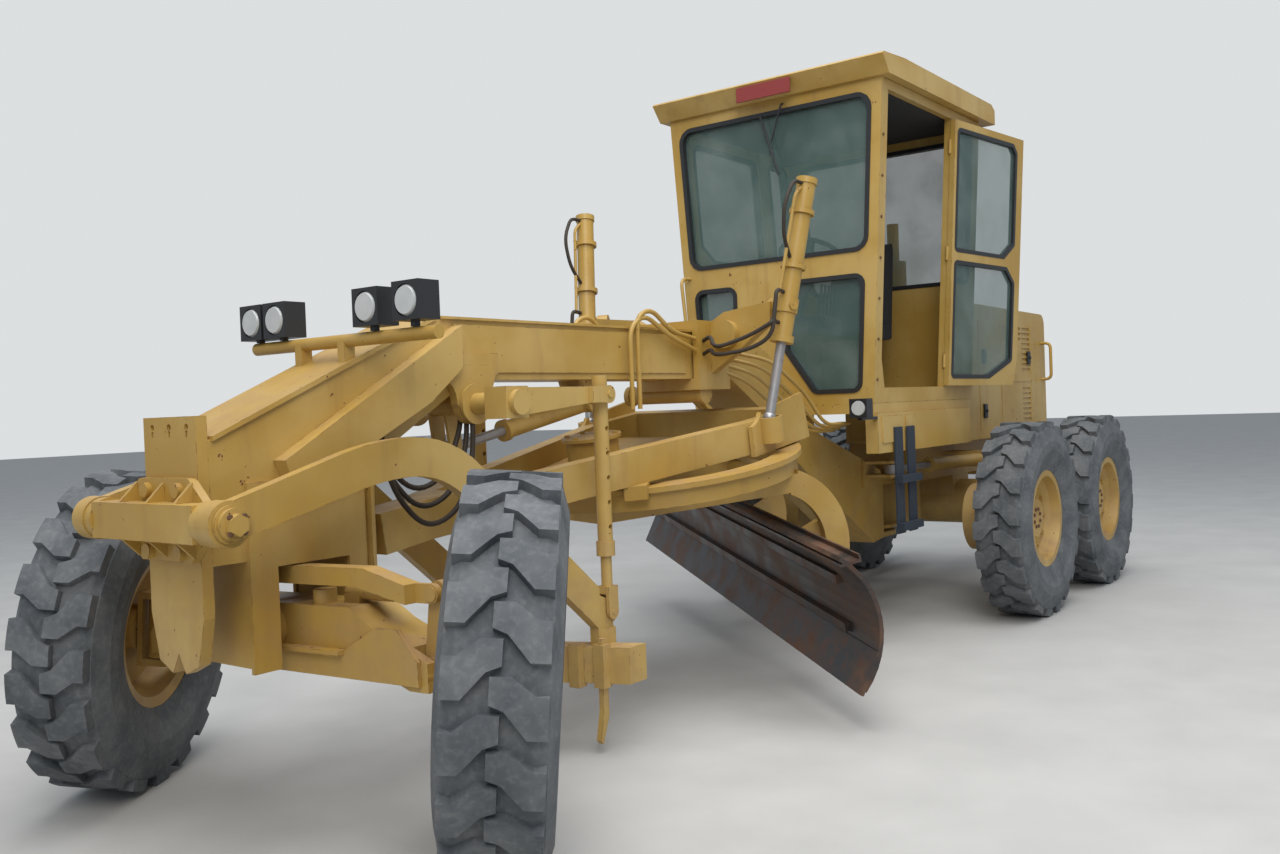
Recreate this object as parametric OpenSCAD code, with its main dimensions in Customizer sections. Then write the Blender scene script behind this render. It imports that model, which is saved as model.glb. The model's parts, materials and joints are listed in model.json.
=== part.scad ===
// Articulated motor grader with a mid-mounted scarifier, a turning blade and tandem rear wheels.
// The origin is on the ground at the middle of the machine's length. +X is forward, +Y its left side.

/* [Stance] */
// Front axle ahead of the origin
front_x = 3475; // [3470:1:3480]
// Front axle to the middle of the tandem
wheelbase = 5950; // [5900:10:6000]
// Between the two axles of a tandem
tandem_spacing = 1520; // [1510:5:1560]
// Between the left and right rear tyres' middles
rear_track = 2040; // [2030:5:2080]
// Kingpin out from the machine's centre plane
king_y = 920; // [910:1:930]
// Wheel middle out from its kingpin
king_offset = 120; // [115:1:125]
// Left front wheel's turn to the left
steer_left_deg = 40; // [36:1:42]
// Right front wheel's turn to the left
steer_right_deg = 33.5; // [30:0.5:35]
// Lean of the front wheels to the left
lean_deg = 8; // [6:0.5:9]

/* [Tyres and rims] */
// Radius over the lugs
tyre_r = 655; // [650:1:660]
// Height of the lugs
lug_h = 32; // [25:1:36]
// Width over the side walls
tyre_w = 355; // [350:1:360]
// Radius of the tyre's bead
bead_r = 312; // [308:1:315]
// Width of the rim
rim_w = 250; // [240:1:260]
// Thickness of the rim's plates
rim_t = 14; // [12:1:16]
// Wheel bolts to a rim
rim_bolts = 10; // [8:1:12]
// Lugs on each half of the tread
lug_count = 20; // [18:1:22]

/* [Main frame] */
// Width of the box frame
frame_w = 320; // [310:2:330]
// Top of the straight box above the ground
frame_top = 1900; // [1890:2:1910]
// Height of the straight box
frame_h = 250; // [240:2:260]
// Bend at the top of the gooseneck, behind the front axle
bend_back = 640; // [630:2:650]
// Top of the gooseneck's foot above the ground
neck_foot_z = 1450; // [1440:2:1460]
// Front plate of the nose, ahead of the front axle
nose_ahead = 330; // [325:1:335]
// Articulation hinge behind the front axle
hitch_back = 4900; // [4880:5:4920]

/* [Front axle] */
// Lean pivots out from the centre plane
lean_y = 800; // [795:1:805]
// Lean pivots above the ground
lean_z = 640; // [635:1:645]
// Lean bar above the lean pivots
lean_bar_up = 270; // [265:1:275]
// Steering arms behind the kingpins
steer_arm = 240; // [235:1:245]
// Tie rod above the ground
tie_rod_z = 572; // [568:1:576]

/* [Nose and scarifier] */
// Cross pin ahead of the front axle
nose_pin_ahead = 520; // [515:1:525]
// Cross pin above the ground
nose_pin_z = 1190; // [1185:1:1195]
// Draft arms out from the centre plane
draft_y = 385; // [380:1:390]
// Scarifier block behind the front axle
block_back = 1380; // [1370:2:1390]
// Half width of the scarifier block
block_half = 545; // [535:2:555]
// Rock shaft behind the front axle
rock_back = 785; // [780:1:790]
// Rock shaft above the ground
rock_z = 1548; // [1544:1:1552]

/* [Drawbar, circle and blade] */
// Drawbar ball behind the front axle
ball_back = 300; // [290:2:310]
// Drawbar ball above the ground
ball_z = 1088; // [1080:2:1096]
// Pitch of the drawbar, rear end up
drawbar_pitch = 8; // [7.5:0.1:8.2]
// Ball to the middle of the circle
circle_behind = 2020; // [2010:2:2030]
// Outer radius of the circle
circle_r = 765; // [755:1:770]
// Height of the circle's ring
circle_h = 110; // [100:1:115]
// Turn of the blade, left end forward
blade_yaw = 38.4; // [36:0.2:40]
// Length of the blade
blade_l = 3660; // [3640:10:3680]
// Height of the blade
blade_h = 610; // [600:2:620]
// Radius of the blade's curve
blade_arc = 413; // [405:1:420]
// Thickness of the blade plate
blade_t = 20; // [16:1:24]
// Side shift of the blade to the right
blade_shift = 554; // [540:2:560]
// Tip of the blade, top forward
blade_tip = 5; // [4:0.5:6]

/* [Lift cylinders] */
// Lift balls behind the front axle
lift_ball_back = 2490; // [2480:2:2500]
// Lift balls out from the centre plane
lift_ball_y = 600; // [595:1:605]
// Lift balls above the ground
lift_ball_z = 1430; // [1420:1:1435]
// Cylinder tops behind the front axle
lift_top_back = 2700; // [2690:2:2710]
// Cylinder tops out from the centre plane
lift_top_y = 750; // [745:1:755]
// Cylinder tops above the ground
lift_top_z = 2650; // [2640:2:2660]
// Radius of the cylinder barrel
lift_r = 50; // [46:1:52]

/* [Cab] */
// Front wall behind the front axle
cab_front_back = 3640; // [3620:5:3660]
// Length of the cab between its front and rear walls' outer faces
cab_l = 1560; // [1540:5:1580]
// Floor of the cab above the ground
cab_floor_z = 1480; // [1470:2:1490]
// Top of the cab's walls above the ground
cab_top_z = 3390; // [3380:2:3400]
// Half width of the cab at the floor
cab_low_half = 640; // [635:1:650]
// Half width of the cab under its roof
cab_top_half = 760; // [755:1:765]
// Thickness of the cab's walls
wall_t = 45; // [40:1:50]
// Width of a door
door_w = 960; // [940:5:970]
// Opening of the left door
door_open = 172; // [168:1:174]

/* [Engine end] */
// Half width of the engine hood
hood_half = 450; // [440:2:460]
// Front of the hood behind the front axle
hood_front_back = 5420; // [5410:5:5440]
// Rear of the hood behind the front axle
hood_rear_back = 7470; // [7450:5:7490]
// Top of the hood at its front
hood_top_z = 2200; // [2190:2:2210]
// Top of the hood at its rear
hood_rear_z = 2180; // [2170:2:2190]
// Underside of the hood
hood_low_z = 1200; // [1190:2:1210]
// Thickness of the hood's panels
panel_t = 12; // [8:1:16]

/* [Hidden] */
$fn = 48;

body_yellow = "#c9a24d";
steel = "#8d8f92";
black = "#26282b";
tyre_grey = "#5d6166";
pane = [0.45, 0.62, 0.6, 0.4];

// Running gap between pieces that pass each other, the gap round a pin, and the gap between pieces that rest
gap = 6;
fit = 0.5;
seat = 0.3;

// Distance behind the front axle, as a place along X
function back(b) = front_x - b;
mid_x = back(wheelbase - tandem_spacing / 2);
rear_x = back(wheelbase + tandem_spacing / 2);
hitch_x = back(hitch_back);
frame_low = frame_top - frame_h;
cab_front_x = back(cab_front_back);
cab_rear_x = cab_front_x - cab_l;

// Shared helpers
// A plate that lies in the X-Z plane, drawn as [x, z], its thickness t centred on y
module plate_y(y, t) translate([0, y + t / 2, 0]) rotate([90, 0, 0]) linear_extrude(t) children();
// A plate across the machine, drawn as [y, z], from x forward by t
module plate_x(x, t) translate([x, 0, 0]) rotate([90, 0, 90]) linear_extrude(t) children();
// A flat plate drawn as [x, y], from z up by t
module plate_z(z, t) translate([0, 0, z]) linear_extrude(t) children();
// A block between two corners
module block(a, b) translate(a) cube(b - a);
// A round bar from a to b
module bar(a, b, r) {
    d = b - a;
    l = norm(d);
    translate(a) rotate([0, acos(d.z / l), atan2(d.y, d.x)]) cylinder(r = r, h = l);
}
// A pin along Y, and one along X, from their middle
module pin_y(p, r, l) translate(p) rotate([90, 0, 0]) cylinder(r = r, h = l, center = true);
module pin_x(p, r, l) translate(p) rotate([0, 90, 0]) cylinder(r = r, h = l, center = true);
module pin_z(p, r, l) translate(p) cylinder(r = r, h = l, center = true);
// Turns its children about an axis through p
module about(p, a) translate(p) rotate(a) translate(-p) children();
// The children, and their mirror image on the machine's right side
module both_sides() {
    children();
    mirror([0, 1, 0]) children();
}
function arc_points(c, r, from, to, n) = [for (i = [0:n]) let (a = from + (to - from) * i / n) c + r * [cos(a), sin(a)]];

function unit(v) = v / norm(v);
// Outline p with each corner rounded to radius r by n chords
function rounded(p, r, n = 4) = [for (i = [0:len(p) - 1]) let (
    a = unit(p[(i + len(p) - 1) % len(p)] - p[i]), b = unit(p[(i + 1) % len(p)] - p[i]), half = acos(a * b) / 2,
    c = p[i] + unit(a + b) * r / sin(half), u = p[i] + a * r / tan(half) - c, v = p[i] + b * r / tan(half) - c)
    for (k = [0:n]) c + r * unit(u * (1 - k / n) + v * k / n)];

// Where the front axle, its lean castings and its knuckles stand at rest
axle_pin_z = 760;
lean_out_left = king_y - lean_y + king_offset * cos(steer_left_deg);
lean_out_right = king_y - lean_y + king_offset * cos(steer_right_deg);
axle_roll = asin((lean_out_left + lean_out_right) * sin(lean_deg) / (lean_out_left + lean_out_right + 2 * lean_y));
wheel_z = 665.4;
module on_axle() about([front_x, 0, axle_pin_z], [axle_roll, 0, 0]) children();
module on_lean(s) on_axle() about([front_x, s * lean_y, lean_z], [-lean_deg, 0, 0]) children();
module on_knuckle(s) on_lean(s) about([front_x, s * king_y, 0], [0, 0, s > 0 ? steer_left_deg : steer_right_deg]) children();
module at_front_wheel(s) on_knuckle(s) translate([front_x, s * (king_y + king_offset), wheel_z])
    rotate([0, 0, s > 0 ? 0 : 180]) children();
module at_rear_wheel(x, s) translate([x, s * rear_track / 2, tyre_r]) rotate([0, 0, s > 0 ? 0 : 180]) children();

// Tyre and rim, drawn with the wheel's axis along Y and its outer side at +Y
tread_half = 128;
tyre_wall_r = 520;
bead_y = rim_w / 2 - rim_t - seat;
// Outer half of the tyre's section from bead to tread, [radius, y]
tyre_half_section = [
    [bead_r, bead_y], [bead_r + rim_t + seat, bead_y], [bead_r + rim_t + seat, rim_w / 2 + 3],
    [tyre_wall_r - 60, tyre_w / 2], [tyre_wall_r, tyre_w / 2], [tyre_r - lug_h - 18, tyre_w / 2 - 26],
    [tyre_r - lug_h, tread_half - 8]];
// Outline of one lug from above, [along the tread, across it]
lug_plan = [[-82, -16], [-8, -16], [8, 26], [84, 92], [84, tread_half + 20], [-32, tread_half + 20], [-32, 112], [-82, 44]];
module tyre() color(tyre_grey) union() {
    rotate([-90, 0, 0]) rotate_extrude() polygon(concat(
        [for (p = tyre_half_section) [p.x, -p.y]],
        [for (i = [len(tyre_half_section) - 1:-1:0]) tyre_half_section[i]]));
    intersection() {
        rotate([90, 0, 0]) cylinder(r = tyre_r, h = tyre_w, center = true, $fn = 96);
        for (s = [-1, 1], i = [0:lug_count - 1])
            rotate([0, (i + (s + 1) / 4) * 360 / lug_count, 0]) translate([0, 0, tyre_r - lug_h - 40])
                linear_extrude(lug_h + 50) polygon([for (p = lug_plan) [p.x, s * p.y]]);
    }
}

hub_r = 150;
disc_y = 20;
rim_section = [
    [0, disc_y - rim_t], [hub_r + 90, disc_y - rim_t], [bead_r - 3 * rim_t, -rim_w / 2 + 60],
    [bead_r - 2 * rim_t, -rim_w / 2 + rim_t], [bead_r + rim_t, -rim_w / 2], [bead_r + rim_t, -rim_w / 2 + rim_t - seat],
    [bead_r - seat, -rim_w / 2 + rim_t - seat], [bead_r - seat, rim_w / 2 - rim_t + seat],
    [bead_r + rim_t, rim_w / 2 - rim_t + seat], [bead_r + rim_t, rim_w / 2], [bead_r - 2 * rim_t, rim_w / 2],
    [bead_r - 3 * rim_t, rim_w / 2 - 60], [hub_r + 90, disc_y + rim_t / 2], [hub_r, disc_y + rim_t / 2],
    [hub_r - 20, disc_y + 36], [0, disc_y + 36]];
bolt_circle_r = 200;
spindle_r = 40;
module rim() color(body_yellow) difference() {
    union() {
        rotate([-90, 0, 0]) rotate_extrude() polygon(rim_section);
        translate([0, -30, 0]) rotate([-90, 0, 0]) cylinder(r = 92, h = disc_y + 30);
        for (i = [0:rim_bolts - 1])
            rotate([0, i * 360 / rim_bolts, 0]) translate([bolt_circle_r, disc_y + rim_t / 2 - 1, 0])
                rotate([-90, 0, 0]) cylinder(r = 16, h = 19, $fn = 6);
    }
    translate([0, -31, 0]) rotate([-90, 0, 0]) cylinder(r = spindle_r + fit, h = 31 + 10 + gap);
}

// Front frame
neck_foot_x = front_x + nose_ahead + 90;
bend_x = back(bend_back);
window_top = 1030;
front_leg_x = front_x + 190;
rear_leg_x = front_x - 230;
axle_pin_r = 48;
drop_back = 2820;
hitch_pin_r = 45;
rock_shaft_r = 45;
articulation_z = 1030;
front_eye = [hitch_x + 380, 330];
rear_eye = [hitch_x - 850, 520];
front_pin_r = 15;
rear_pin_r = 22;
lug_levels = [[930, 960], [540, 570]];
bar_x = back(190);
cap_t = 16;
module main_frame() color(body_yellow) {
    // Gooseneck, straight box and the drop under the cab
    plate_y(0, frame_w) polygon([
        [neck_foot_x, neck_foot_z], [bend_x, frame_top], [back(cab_front_back - 640), frame_top],
        [back(cab_front_back - 390), frame_top - 110], [back(cab_front_back), cab_floor_z - 115],
        [hitch_x + 190, 1010], [hitch_x + 160, lug_levels[0][1]], [hitch_x + 160, lug_levels[1][0]],
        [hitch_x + 330, lug_levels[1][0] - 20], [back(cab_front_back - 80), frame_low - 520],
        [back(cab_front_back - 510), frame_low - 170], [back(drop_back), frame_low], [bend_x - 150, frame_low],
        [rear_leg_x, 1320], [rear_leg_x, window_top], [neck_foot_x, window_top]]);
    // Fork that holds the front axle's centre pin
    block([front_leg_x, -frame_w / 2, 660], [front_leg_x + 100, frame_w / 2, window_top + 1]);
    block([rear_leg_x, -frame_w / 2, 680], [rear_leg_x + 90, frame_w / 2, window_top + 1]);
    pin_x([(front_leg_x + rear_leg_x + 90) / 2, 0, axle_pin_z], axle_pin_r, front_leg_x - rear_leg_x - 88);
    // Flange of each nose side plate and the round-ended foot under its rear leg
    both_sides() {
        block([rear_leg_x - 16, frame_w / 2 - 40, window_top - 330], [rear_leg_x + 1, frame_w / 2 + 30, 1300]);
        plate_y(frame_w / 2 + 8, 18) polygon([
            [front_leg_x + 100, 640], [front_leg_x + 100, 1300], [rear_leg_x + 20, 1300], [rear_leg_x + 20, 660],
            [rear_leg_x + 100, 660], [rear_leg_x + 100, 1000], [front_leg_x - 10, 1000], [front_leg_x - 10, 640]]);
    }
    // Stud and ball that carry the drawbar
    bar([rear_leg_x + 20, 0, ball_z], [ball.x, 0, ball_z], 22);
    translate(ball) sphere(r = ball_r);
    // Reinforcing box along each side of the gooseneck
    both_sides() plate_y(frame_w / 2 + 35, 70) polygon([
        [front_x + 170, 1370], [front_x + 120, 1240], [bend_x + 120, 1560], [bend_x - 60, 1700], [bend_x - 60, 1870]]);
    // Cap plates on the gooseneck and on the straight box
    plate_y(0, frame_w + 24) polygon([
        [neck_foot_x - 12, neck_foot_z - 1], [neck_foot_x - 12, neck_foot_z + cap_t], [bend_x + 24, frame_top + cap_t], [bend_x + 24, frame_top - 6]]);
    block([back(cab_front_back - 660), -frame_w / 2 - 14, frame_top - 1], [bend_x, frame_w / 2 + 14, frame_top + 10]);
    // Side cover panels of the straight box and the folded edge above them
    both_sides() plate_y(frame_w / 2 + 4, 8) polygon([
        [bend_x - 70, frame_top - 20], [back(2380), frame_top - 20], [back(2380), frame_low + 30], [bend_x - 70, frame_low + 30]]);
    // Bearings of the rock shaft, with a curved front edge up to the bend
    both_sides() plate_y(175, 40) difference() {
        union() {
            polygon([[back(rock_back - 210), frame_low + 60], [back(rock_back + 150), frame_low + 60],
                [back(rock_back + 80), rock_z - 20], [back(rock_back - 80), rock_z - 20]]);
            translate([back(rock_back), rock_z]) circle(r = 85);
        }
        translate([back(rock_back), rock_z]) circle(r = rock_shaft_r + fit);
        translate([back(rock_back - 205), rock_z + 5]) circle(r = 110);
    }
    both_sides() block([back(rock_back + 150), frame_w / 2 - 1, frame_low + 20], [back(rock_back - 100), frame_w / 2 + 34, frame_low + 110]);
    // Clevis of the scarifier cylinder
    both_sides() plate_y(66, 20) difference() {
        union() {
            polygon([[scarifier_pin.x - 90, frame_low + 2], [scarifier_pin.x + 90, frame_low + 2],
                [scarifier_pin.x + 40, scarifier_pin.z], [scarifier_pin.x - 40, scarifier_pin.z]]);
            translate([scarifier_pin.x, scarifier_pin.z]) circle(r = 40);
        }
        translate([scarifier_pin.x, scarifier_pin.z]) circle(r = scarifier_pin_r - 1);
    }
    pin_y(scarifier_pin, scarifier_pin_r, 170);
    // Tube that carries the work lights, on two uprights
    bar([bar_x, -430, 1800], [bar_x, 640, 1800], 25);
    both_sides() block([bar_x - 25, 110, 1560], [bar_x + 25, 150, 1800]);
    // Hitch lugs, their pin, and the lugs of the articulation cylinders
    for (z = lug_levels) {
        block([hitch_x, -frame_w / 2, z[0]], [hitch_x + 170, frame_w / 2, z[1]]);
        translate([hitch_x, 0, z[0]]) cylinder(r = frame_w / 2, h = z[1] - z[0]);
    }
    translate([hitch_x, 0, lug_levels[1][0] - 15]) cylinder(r = hitch_pin_r, h = lug_levels[0][1] - lug_levels[1][0] + 30);
    both_sides() {
        for (z = [articulation_z - 55, articulation_z + 35])
            plate_z(z, 20) difference() {
                union() {
                    polygon([[front_eye.x - 70, 100], [front_eye.x + 110, 100], [front_eye.x + 40, front_eye.y], [front_eye.x - 40, front_eye.y]]);
                    translate(front_eye) circle(r = 45);
                }
                translate(front_eye) circle(r = front_pin_r - 1);
            }
        pin_z([front_eye.x, front_eye.y, articulation_z], front_pin_r, 126);
        block([front_eye.x - 70, 100, articulation_z - 120], [front_eye.x + 110, frame_w / 2 + 20, articulation_z + 60]);
    }
}

// Scarifier cylinder's fixed pin, under the straight box
scarifier_pin = [back(1716), 0, 1535];
scarifier_pin_r = 18;
// Nose: lift plate, bolted cross block and the pin ends that carry the draft arms
nose_pin_x = front_x + nose_pin_ahead;
pin_end_r = 46;
plate_front_x = neck_foot_x + seat + 42;
module nose_mount() color(body_yellow) {
    plate_x(neck_foot_x + seat, 42) difference() {
        polygon([[-160, 1535], [160, 1535], [160, 860], [120, 700], [40, 665], [0, 730], [-40, 660], [-120, 700], [-160, 860]]);
        for (y = [-105, 0, 105]) {
            translate([y, 1500]) circle(r = 11);
            polygon([[y - 6, 1486], [y + 6, 1486], [y + 4, 1466], [y - 4, 1466]]);
        }
    }
    plate_x(plate_front_x - 1, 31) polygon([
        [-150, nose_pin_z + 140], [150, nose_pin_z + 140], [245, nose_pin_z + 55], [245, nose_pin_z - 55],
        [150, nose_pin_z - 140], [-150, nose_pin_z - 140], [-245, nose_pin_z - 55], [-245, nose_pin_z + 55]]);
    // Cross block and the gussets above and below it
    block([plate_front_x + 28, -draft_y + 75, nose_pin_z - 62], [nose_pin_x + 62, draft_y - 75, nose_pin_z + 62]);
    for (y = [-170, 0, 170], s = [-1, 1])
        plate_y(y, 16) polygon([
            [plate_front_x + 28, nose_pin_z + s * 60], [plate_front_x + 28, nose_pin_z + s * 128], [nose_pin_x + 40, nose_pin_z + s * 60]]);
    pin_y([nose_pin_x, 0, nose_pin_z], pin_end_r, 2 * draft_y + 120);
    both_sides() {
        pin_y([nose_pin_x, draft_y - 60, nose_pin_z], 72, 40);
        pin_y([nose_pin_x, draft_y + 44, nose_pin_z], 62, 10);
        pin_y([nose_pin_x, draft_y + 56, nose_pin_z], 52, 18);
        translate([nose_pin_x, draft_y + 60, nose_pin_z]) rotate([-90, 30, 0]) cylinder(r = 36, h = 32, $fn = 6);
    }
    for (y = [-95, 95], z = [nose_pin_z + 100, nose_pin_z - 108])
        pin_x([plate_front_x + 38, y, z], 26, 24);
}

// Work lights
// Middle of each lamp's face, [y, z]
lamp_places = [[-405, 1905], [-250, 1905], [300, 1912], [520, 1918]];
lamp_w = 140;
side_lamp = [back(3400), 652, 1455];
module lamp(size, depth) difference() {
    translate([-depth, -size / 2, -size / 2]) cube([depth, size, size]);
    translate([-8, 0, 0]) rotate([0, 90, 0]) cylinder(r = size * 0.42, h = 20);
}
module work_lamps() color(black) {
    for (p = lamp_places) {
        translate([bar_x + 45, p[0], p[1]]) lamp(lamp_w, 100);
        block([bar_x - 12, p[0] - 12, 1825 + seat], [bar_x + 12, p[0] + 12, p[1] - lamp_w / 2 + 1]);
    }
    translate(side_lamp) lamp(110, 80);
    block([cab_front_x + seat, side_lamp.y - 20, side_lamp.z - 70], [side_lamp.x - 30, side_lamp.y + 8, side_lamp.z - 54]);
}

// Lift saddle with its two lift arms, whose bosses carry the cylinders' trunnions
trunnion_t = 0.47;
trunnion_r = 24;
function lift_line(s, t) = [back(lift_ball_back + (lift_top_back - lift_ball_back) * t),
    s * (lift_ball_y + (lift_top_y - lift_ball_y) * t), lift_ball_z + (lift_top_z - lift_ball_z) * t];
// The rod end's place when the drawbar is fully raised
lift_travel = -10;
function raised(p) = let (v = p - ball)
    ball + [v.x * cos(lift_travel) + v.z * sin(lift_travel), v.y, v.z * cos(lift_travel) - v.x * sin(lift_travel)];
// Trunnion axis, square to the plane in which the rod end travels; it points inwards
function trunnion_axis(s) = let (t = lift_line(s, trunnion_t), p = lift_line(s, 0)) -s * unit(cross(p - t, raised(p) - t));
function trunnion_at(s, d) = lift_line(s, trunnion_t) + d * trunnion_axis(s);
trunnion = lift_line(1, trunnion_t);
boss_in = lift_r + 16;
module lift_saddle() color(body_yellow) {
    saddle_x = trunnion.x;
    difference() {
        block([saddle_x - 150, -frame_w / 2 - 50, frame_low - 60], [saddle_x + 150, frame_w / 2 + 50, frame_top + 60]);
        block([saddle_x - 151, -frame_w / 2 - 14 - seat, frame_low - seat], [saddle_x + 151, frame_w / 2 + 14 + seat, frame_top + 10 + seat]);
    }
    both_sides() {
        pin_x([saddle_x, 320, 1880], 75, 150);
        difference() {
            union() {
                plate_x(saddle_x - 30, 60) polygon([
                    [frame_w / 2 + 40, 1670], [frame_w / 2 + 40, 1945], [300, 2000], [trunnion.y - 85, trunnion.z + 28],
                    [trunnion.y - 85, trunnion.z - 72], [400, 1800]]);
                bar(trunnion_at(1, boss_in), trunnion_at(1, boss_in + 62), 50);
            }
            bar(trunnion_at(1, boss_in - 20), trunnion_at(1, boss_in + 80), trunnion_r + fit);
        }
    }
}

// Front axle beam, its lean pins, its centre boss and the steering cylinder
lean_pin_r = 32;
lean_bar_pin_r = 20;
king_pin_r = 30;
beam_half = 100;
module front_axle() color(body_yellow) on_axle() difference() {
    union() {
        difference() {
            plate_x(front_x - beam_half, 2 * beam_half) polygon([
                [-430, 700], [430, 700], [lean_y - 60, 590], [lean_y + 30, 590], [lean_y + 30, 685], [560, 790],
                [450, 850], [-450, 850], [-560, 790], [-lean_y - 30, 685], [-lean_y - 30, 590], [-lean_y + 60, 590]]);
            both_sides() block([front_x - 62, lean_y - 75, 500], [front_x + 62, lean_y + 100, 800]);
        }
        pin_x([front_x + 20, 0, axle_pin_z], 95, 260);
        both_sides() pin_x([front_x, lean_y, lean_z], lean_pin_r, 2 * beam_half - 1);
        // Front flange of the beam, with a rising gusset at each end
        plate_x(front_x + beam_half - 1, 16) polygon([
            [-lean_y, 610], [lean_y, 610], [lean_y, 690], [lean_y - 90, 790], [lean_y - 200, 790], [430, 702],
            [-430, 702], [-lean_y + 200, 790], [-lean_y + 90, 790], [-lean_y, 690]]);
        plate_z(690, 16) polygon([[front_x, -430], [front_x, 430], [front_x + 140, 430], [front_x + 140, -430]]);
        // Steering cylinder, held by a block on the beam
        bar([front_x - 10, 330, 885], [front_x - 10, 560, 885], 28);
        bar([front_x - 10, 540, 885], [front_x - 10, 650, 880], 16);
        block([front_x - 40, 330, 840], [front_x + 20, 410, 885]);
        translate([front_x + 40, 250, 840]) cylinder(r = 42, h = 60);
    }
    pin_x([front_x + 20, 0, axle_pin_z], axle_pin_r + fit, 600);
}

// Lean castings and the bar that keeps them parallel
module lean_casting(s) color(body_yellow) on_lean(s) {
    y = s * lean_y;
    top = lean_z + lean_bar_up;
    difference() {
        union() {
            pin_x([front_x, y, lean_z], 56, 2 * (62 - gap));
            plate_x(front_x - 45, 90) polygon([
                [s * (lean_y - 45), lean_z], [s * (lean_y - 38), top - 20], [s * (lean_y - 30), top + 26],
                [s * (lean_y + 30), top + 26], [s * (lean_y + 34), 812], [s * (lean_y + 50), 784],
                [s * (king_y - 42), 784], [s * (king_y - 42), 560], [s * lean_y, lean_z - 45]]);
            pin_z([front_x, s * king_y, 670], 52, 240);
            pin_x([front_x, y, top], 40, 90);
        }
        pin_x([front_x, y, lean_z], lean_pin_r + fit, 300);
        pin_x([front_x, y, top], lean_bar_pin_r + fit, 300);
        pin_z([front_x, s * king_y, 670], king_pin_r + fit, 400);
    }
}
bar_rise = 50;
bar_t = 68;
bar_end = 75;
// Back face of the lean bar, ahead of the axle
lug_x = 51;
module lean_bar() color(body_yellow) on_axle()
    translate([0, lean_bar_up * sin(lean_deg), -lean_bar_up * (1 - cos(lean_deg))]) {
        z = lean_z + lean_bar_up;
        plate_x(front_x + lug_x, bar_t) polygon([
            [-lean_y + bar_end, z - 32], [-480, z - 32 + bar_rise], [480, z - 32 + bar_rise], [lean_y - bar_end, z - 32],
            [lean_y - bar_end, z + 32], [520, z + 32 + bar_rise], [-520, z + 32 + bar_rise], [-lean_y + bar_end, z + 32]]);
        // Flat lug at each end, its pin and the pin's head
        both_sides() {
            plate_x(front_x + lug_x, 22) {
                polygon([[lean_y - bar_end - 20, z - 32], [lean_y, z - 32], [lean_y, z + 32], [lean_y - bar_end - 20, z + 32]]);
                translate([lean_y, z]) circle(r = 32);
            }
            pin_x([front_x + 10, lean_y, z], lean_bar_pin_r, 120);
            pin_x([front_x + lug_x + 24, lean_y, z], 26, 6);
        }
    }

// Knuckles: kingpin ears, spindle and steering arm
knuckle_levels = [[790 + gap, 826], [514, 550 - gap]];
module knuckle(s) color(body_yellow) on_knuckle(s) {
    y = s * king_y;
    pin_z([front_x, y, 670], king_pin_r, 310);
    for (z = knuckle_levels)
        block([front_x - 46, min(y - s * 40, y + s * 82), z[0]], [front_x + 46, max(y - s * 40, y + s * 82), z[1]]);
    block([front_x - 46, min(y + s * 62, y + s * 84), 515], [front_x + 46, max(y + s * 62, y + s * 84), 825]);
    bar([front_x, y + s * 70, wheel_z], [front_x, y + s * (king_offset + 10), wheel_z], spindle_r);
    // Steering arm behind the kingpin
    difference() {
        plate_z(tie_rod_z - 58, 24) polygon([
            [front_x + 40, y - s * 39], [front_x + 40, y + s * 60], [front_x - 60, y + s * 40],
            [front_x - steer_arm - 30, y - s * 10], [front_x - steer_arm - 30, y - s * 60], [front_x - 60, y - s * 50]]);
        pin_z([front_x - steer_arm, y - s * 35, tie_rod_z], 15, 200);
    }
}
function rot_x(p, a) = [p.x, p.y * cos(a) - p.z * sin(a), p.y * sin(a) + p.z * cos(a)];
function rot_z(p, a) = [p.x * cos(a) - p.y * sin(a), p.x * sin(a) + p.y * cos(a), p.z];
function tie_end_at(s) = let (
    king = [front_x, s * king_y, 0], lean = [front_x, s * lean_y, lean_z],
    p = [front_x - steer_arm, s * (king_y - 35), tie_rod_z],
    q = king + rot_z(p - king, s > 0 ? steer_left_deg : steer_right_deg)) lean + rot_x(q - lean, -lean_deg);
// Ball end on the left steering arm, and the rod across to the right one
tie_ball_r = 22;
module tie_end() color(body_yellow) on_knuckle(1) translate([front_x - steer_arm, king_y - 35, tie_rod_z]) {
    translate([0, 0, -62]) cylinder(r = 15 - fit, h = 62);
    sphere(r = tie_ball_r);
}
tie_run = tie_end_at(-1) - tie_end_at(1);
tie_dir = tie_run / norm(tie_run);
module tie_rod() color(body_yellow) on_axle() {
    bar(tie_end_at(1) + tie_dir * (tie_ball_r + fit), tie_end_at(-1), 20);
}

// Drawbar, circle and blade hang from the ball at the nose
ball = [back(ball_back), 0, ball_z];
module on_drawbar() translate(ball) rotate([0, drawbar_pitch, 0]) children();
module on_circle() on_drawbar() translate([-circle_behind, 0, 0]) rotate([0, 0, -blade_yaw]) children();
beam_z = -50;
beam_h = 165;
beam_low = beam_z - beam_h / 2;
beam_top = beam_z + beam_h / 2;
ring_top = beam_low - 20;
ring_low = ring_top - circle_h;
function to_drawbar(p) = let (d = p - ball) [d.x * cos(drawbar_pitch) - d.z * sin(drawbar_pitch), d.y, d.x * sin(drawbar_pitch) + d.z * cos(drawbar_pitch)];
lift_seat = to_drawbar(lift_line(1, 0));
lift_ball_r = 34;
lift_slack = 16;
ball_r = 44;
flange_t = 26;
band_r = circle_r - 28;
ring_in = circle_r - 130;
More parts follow.
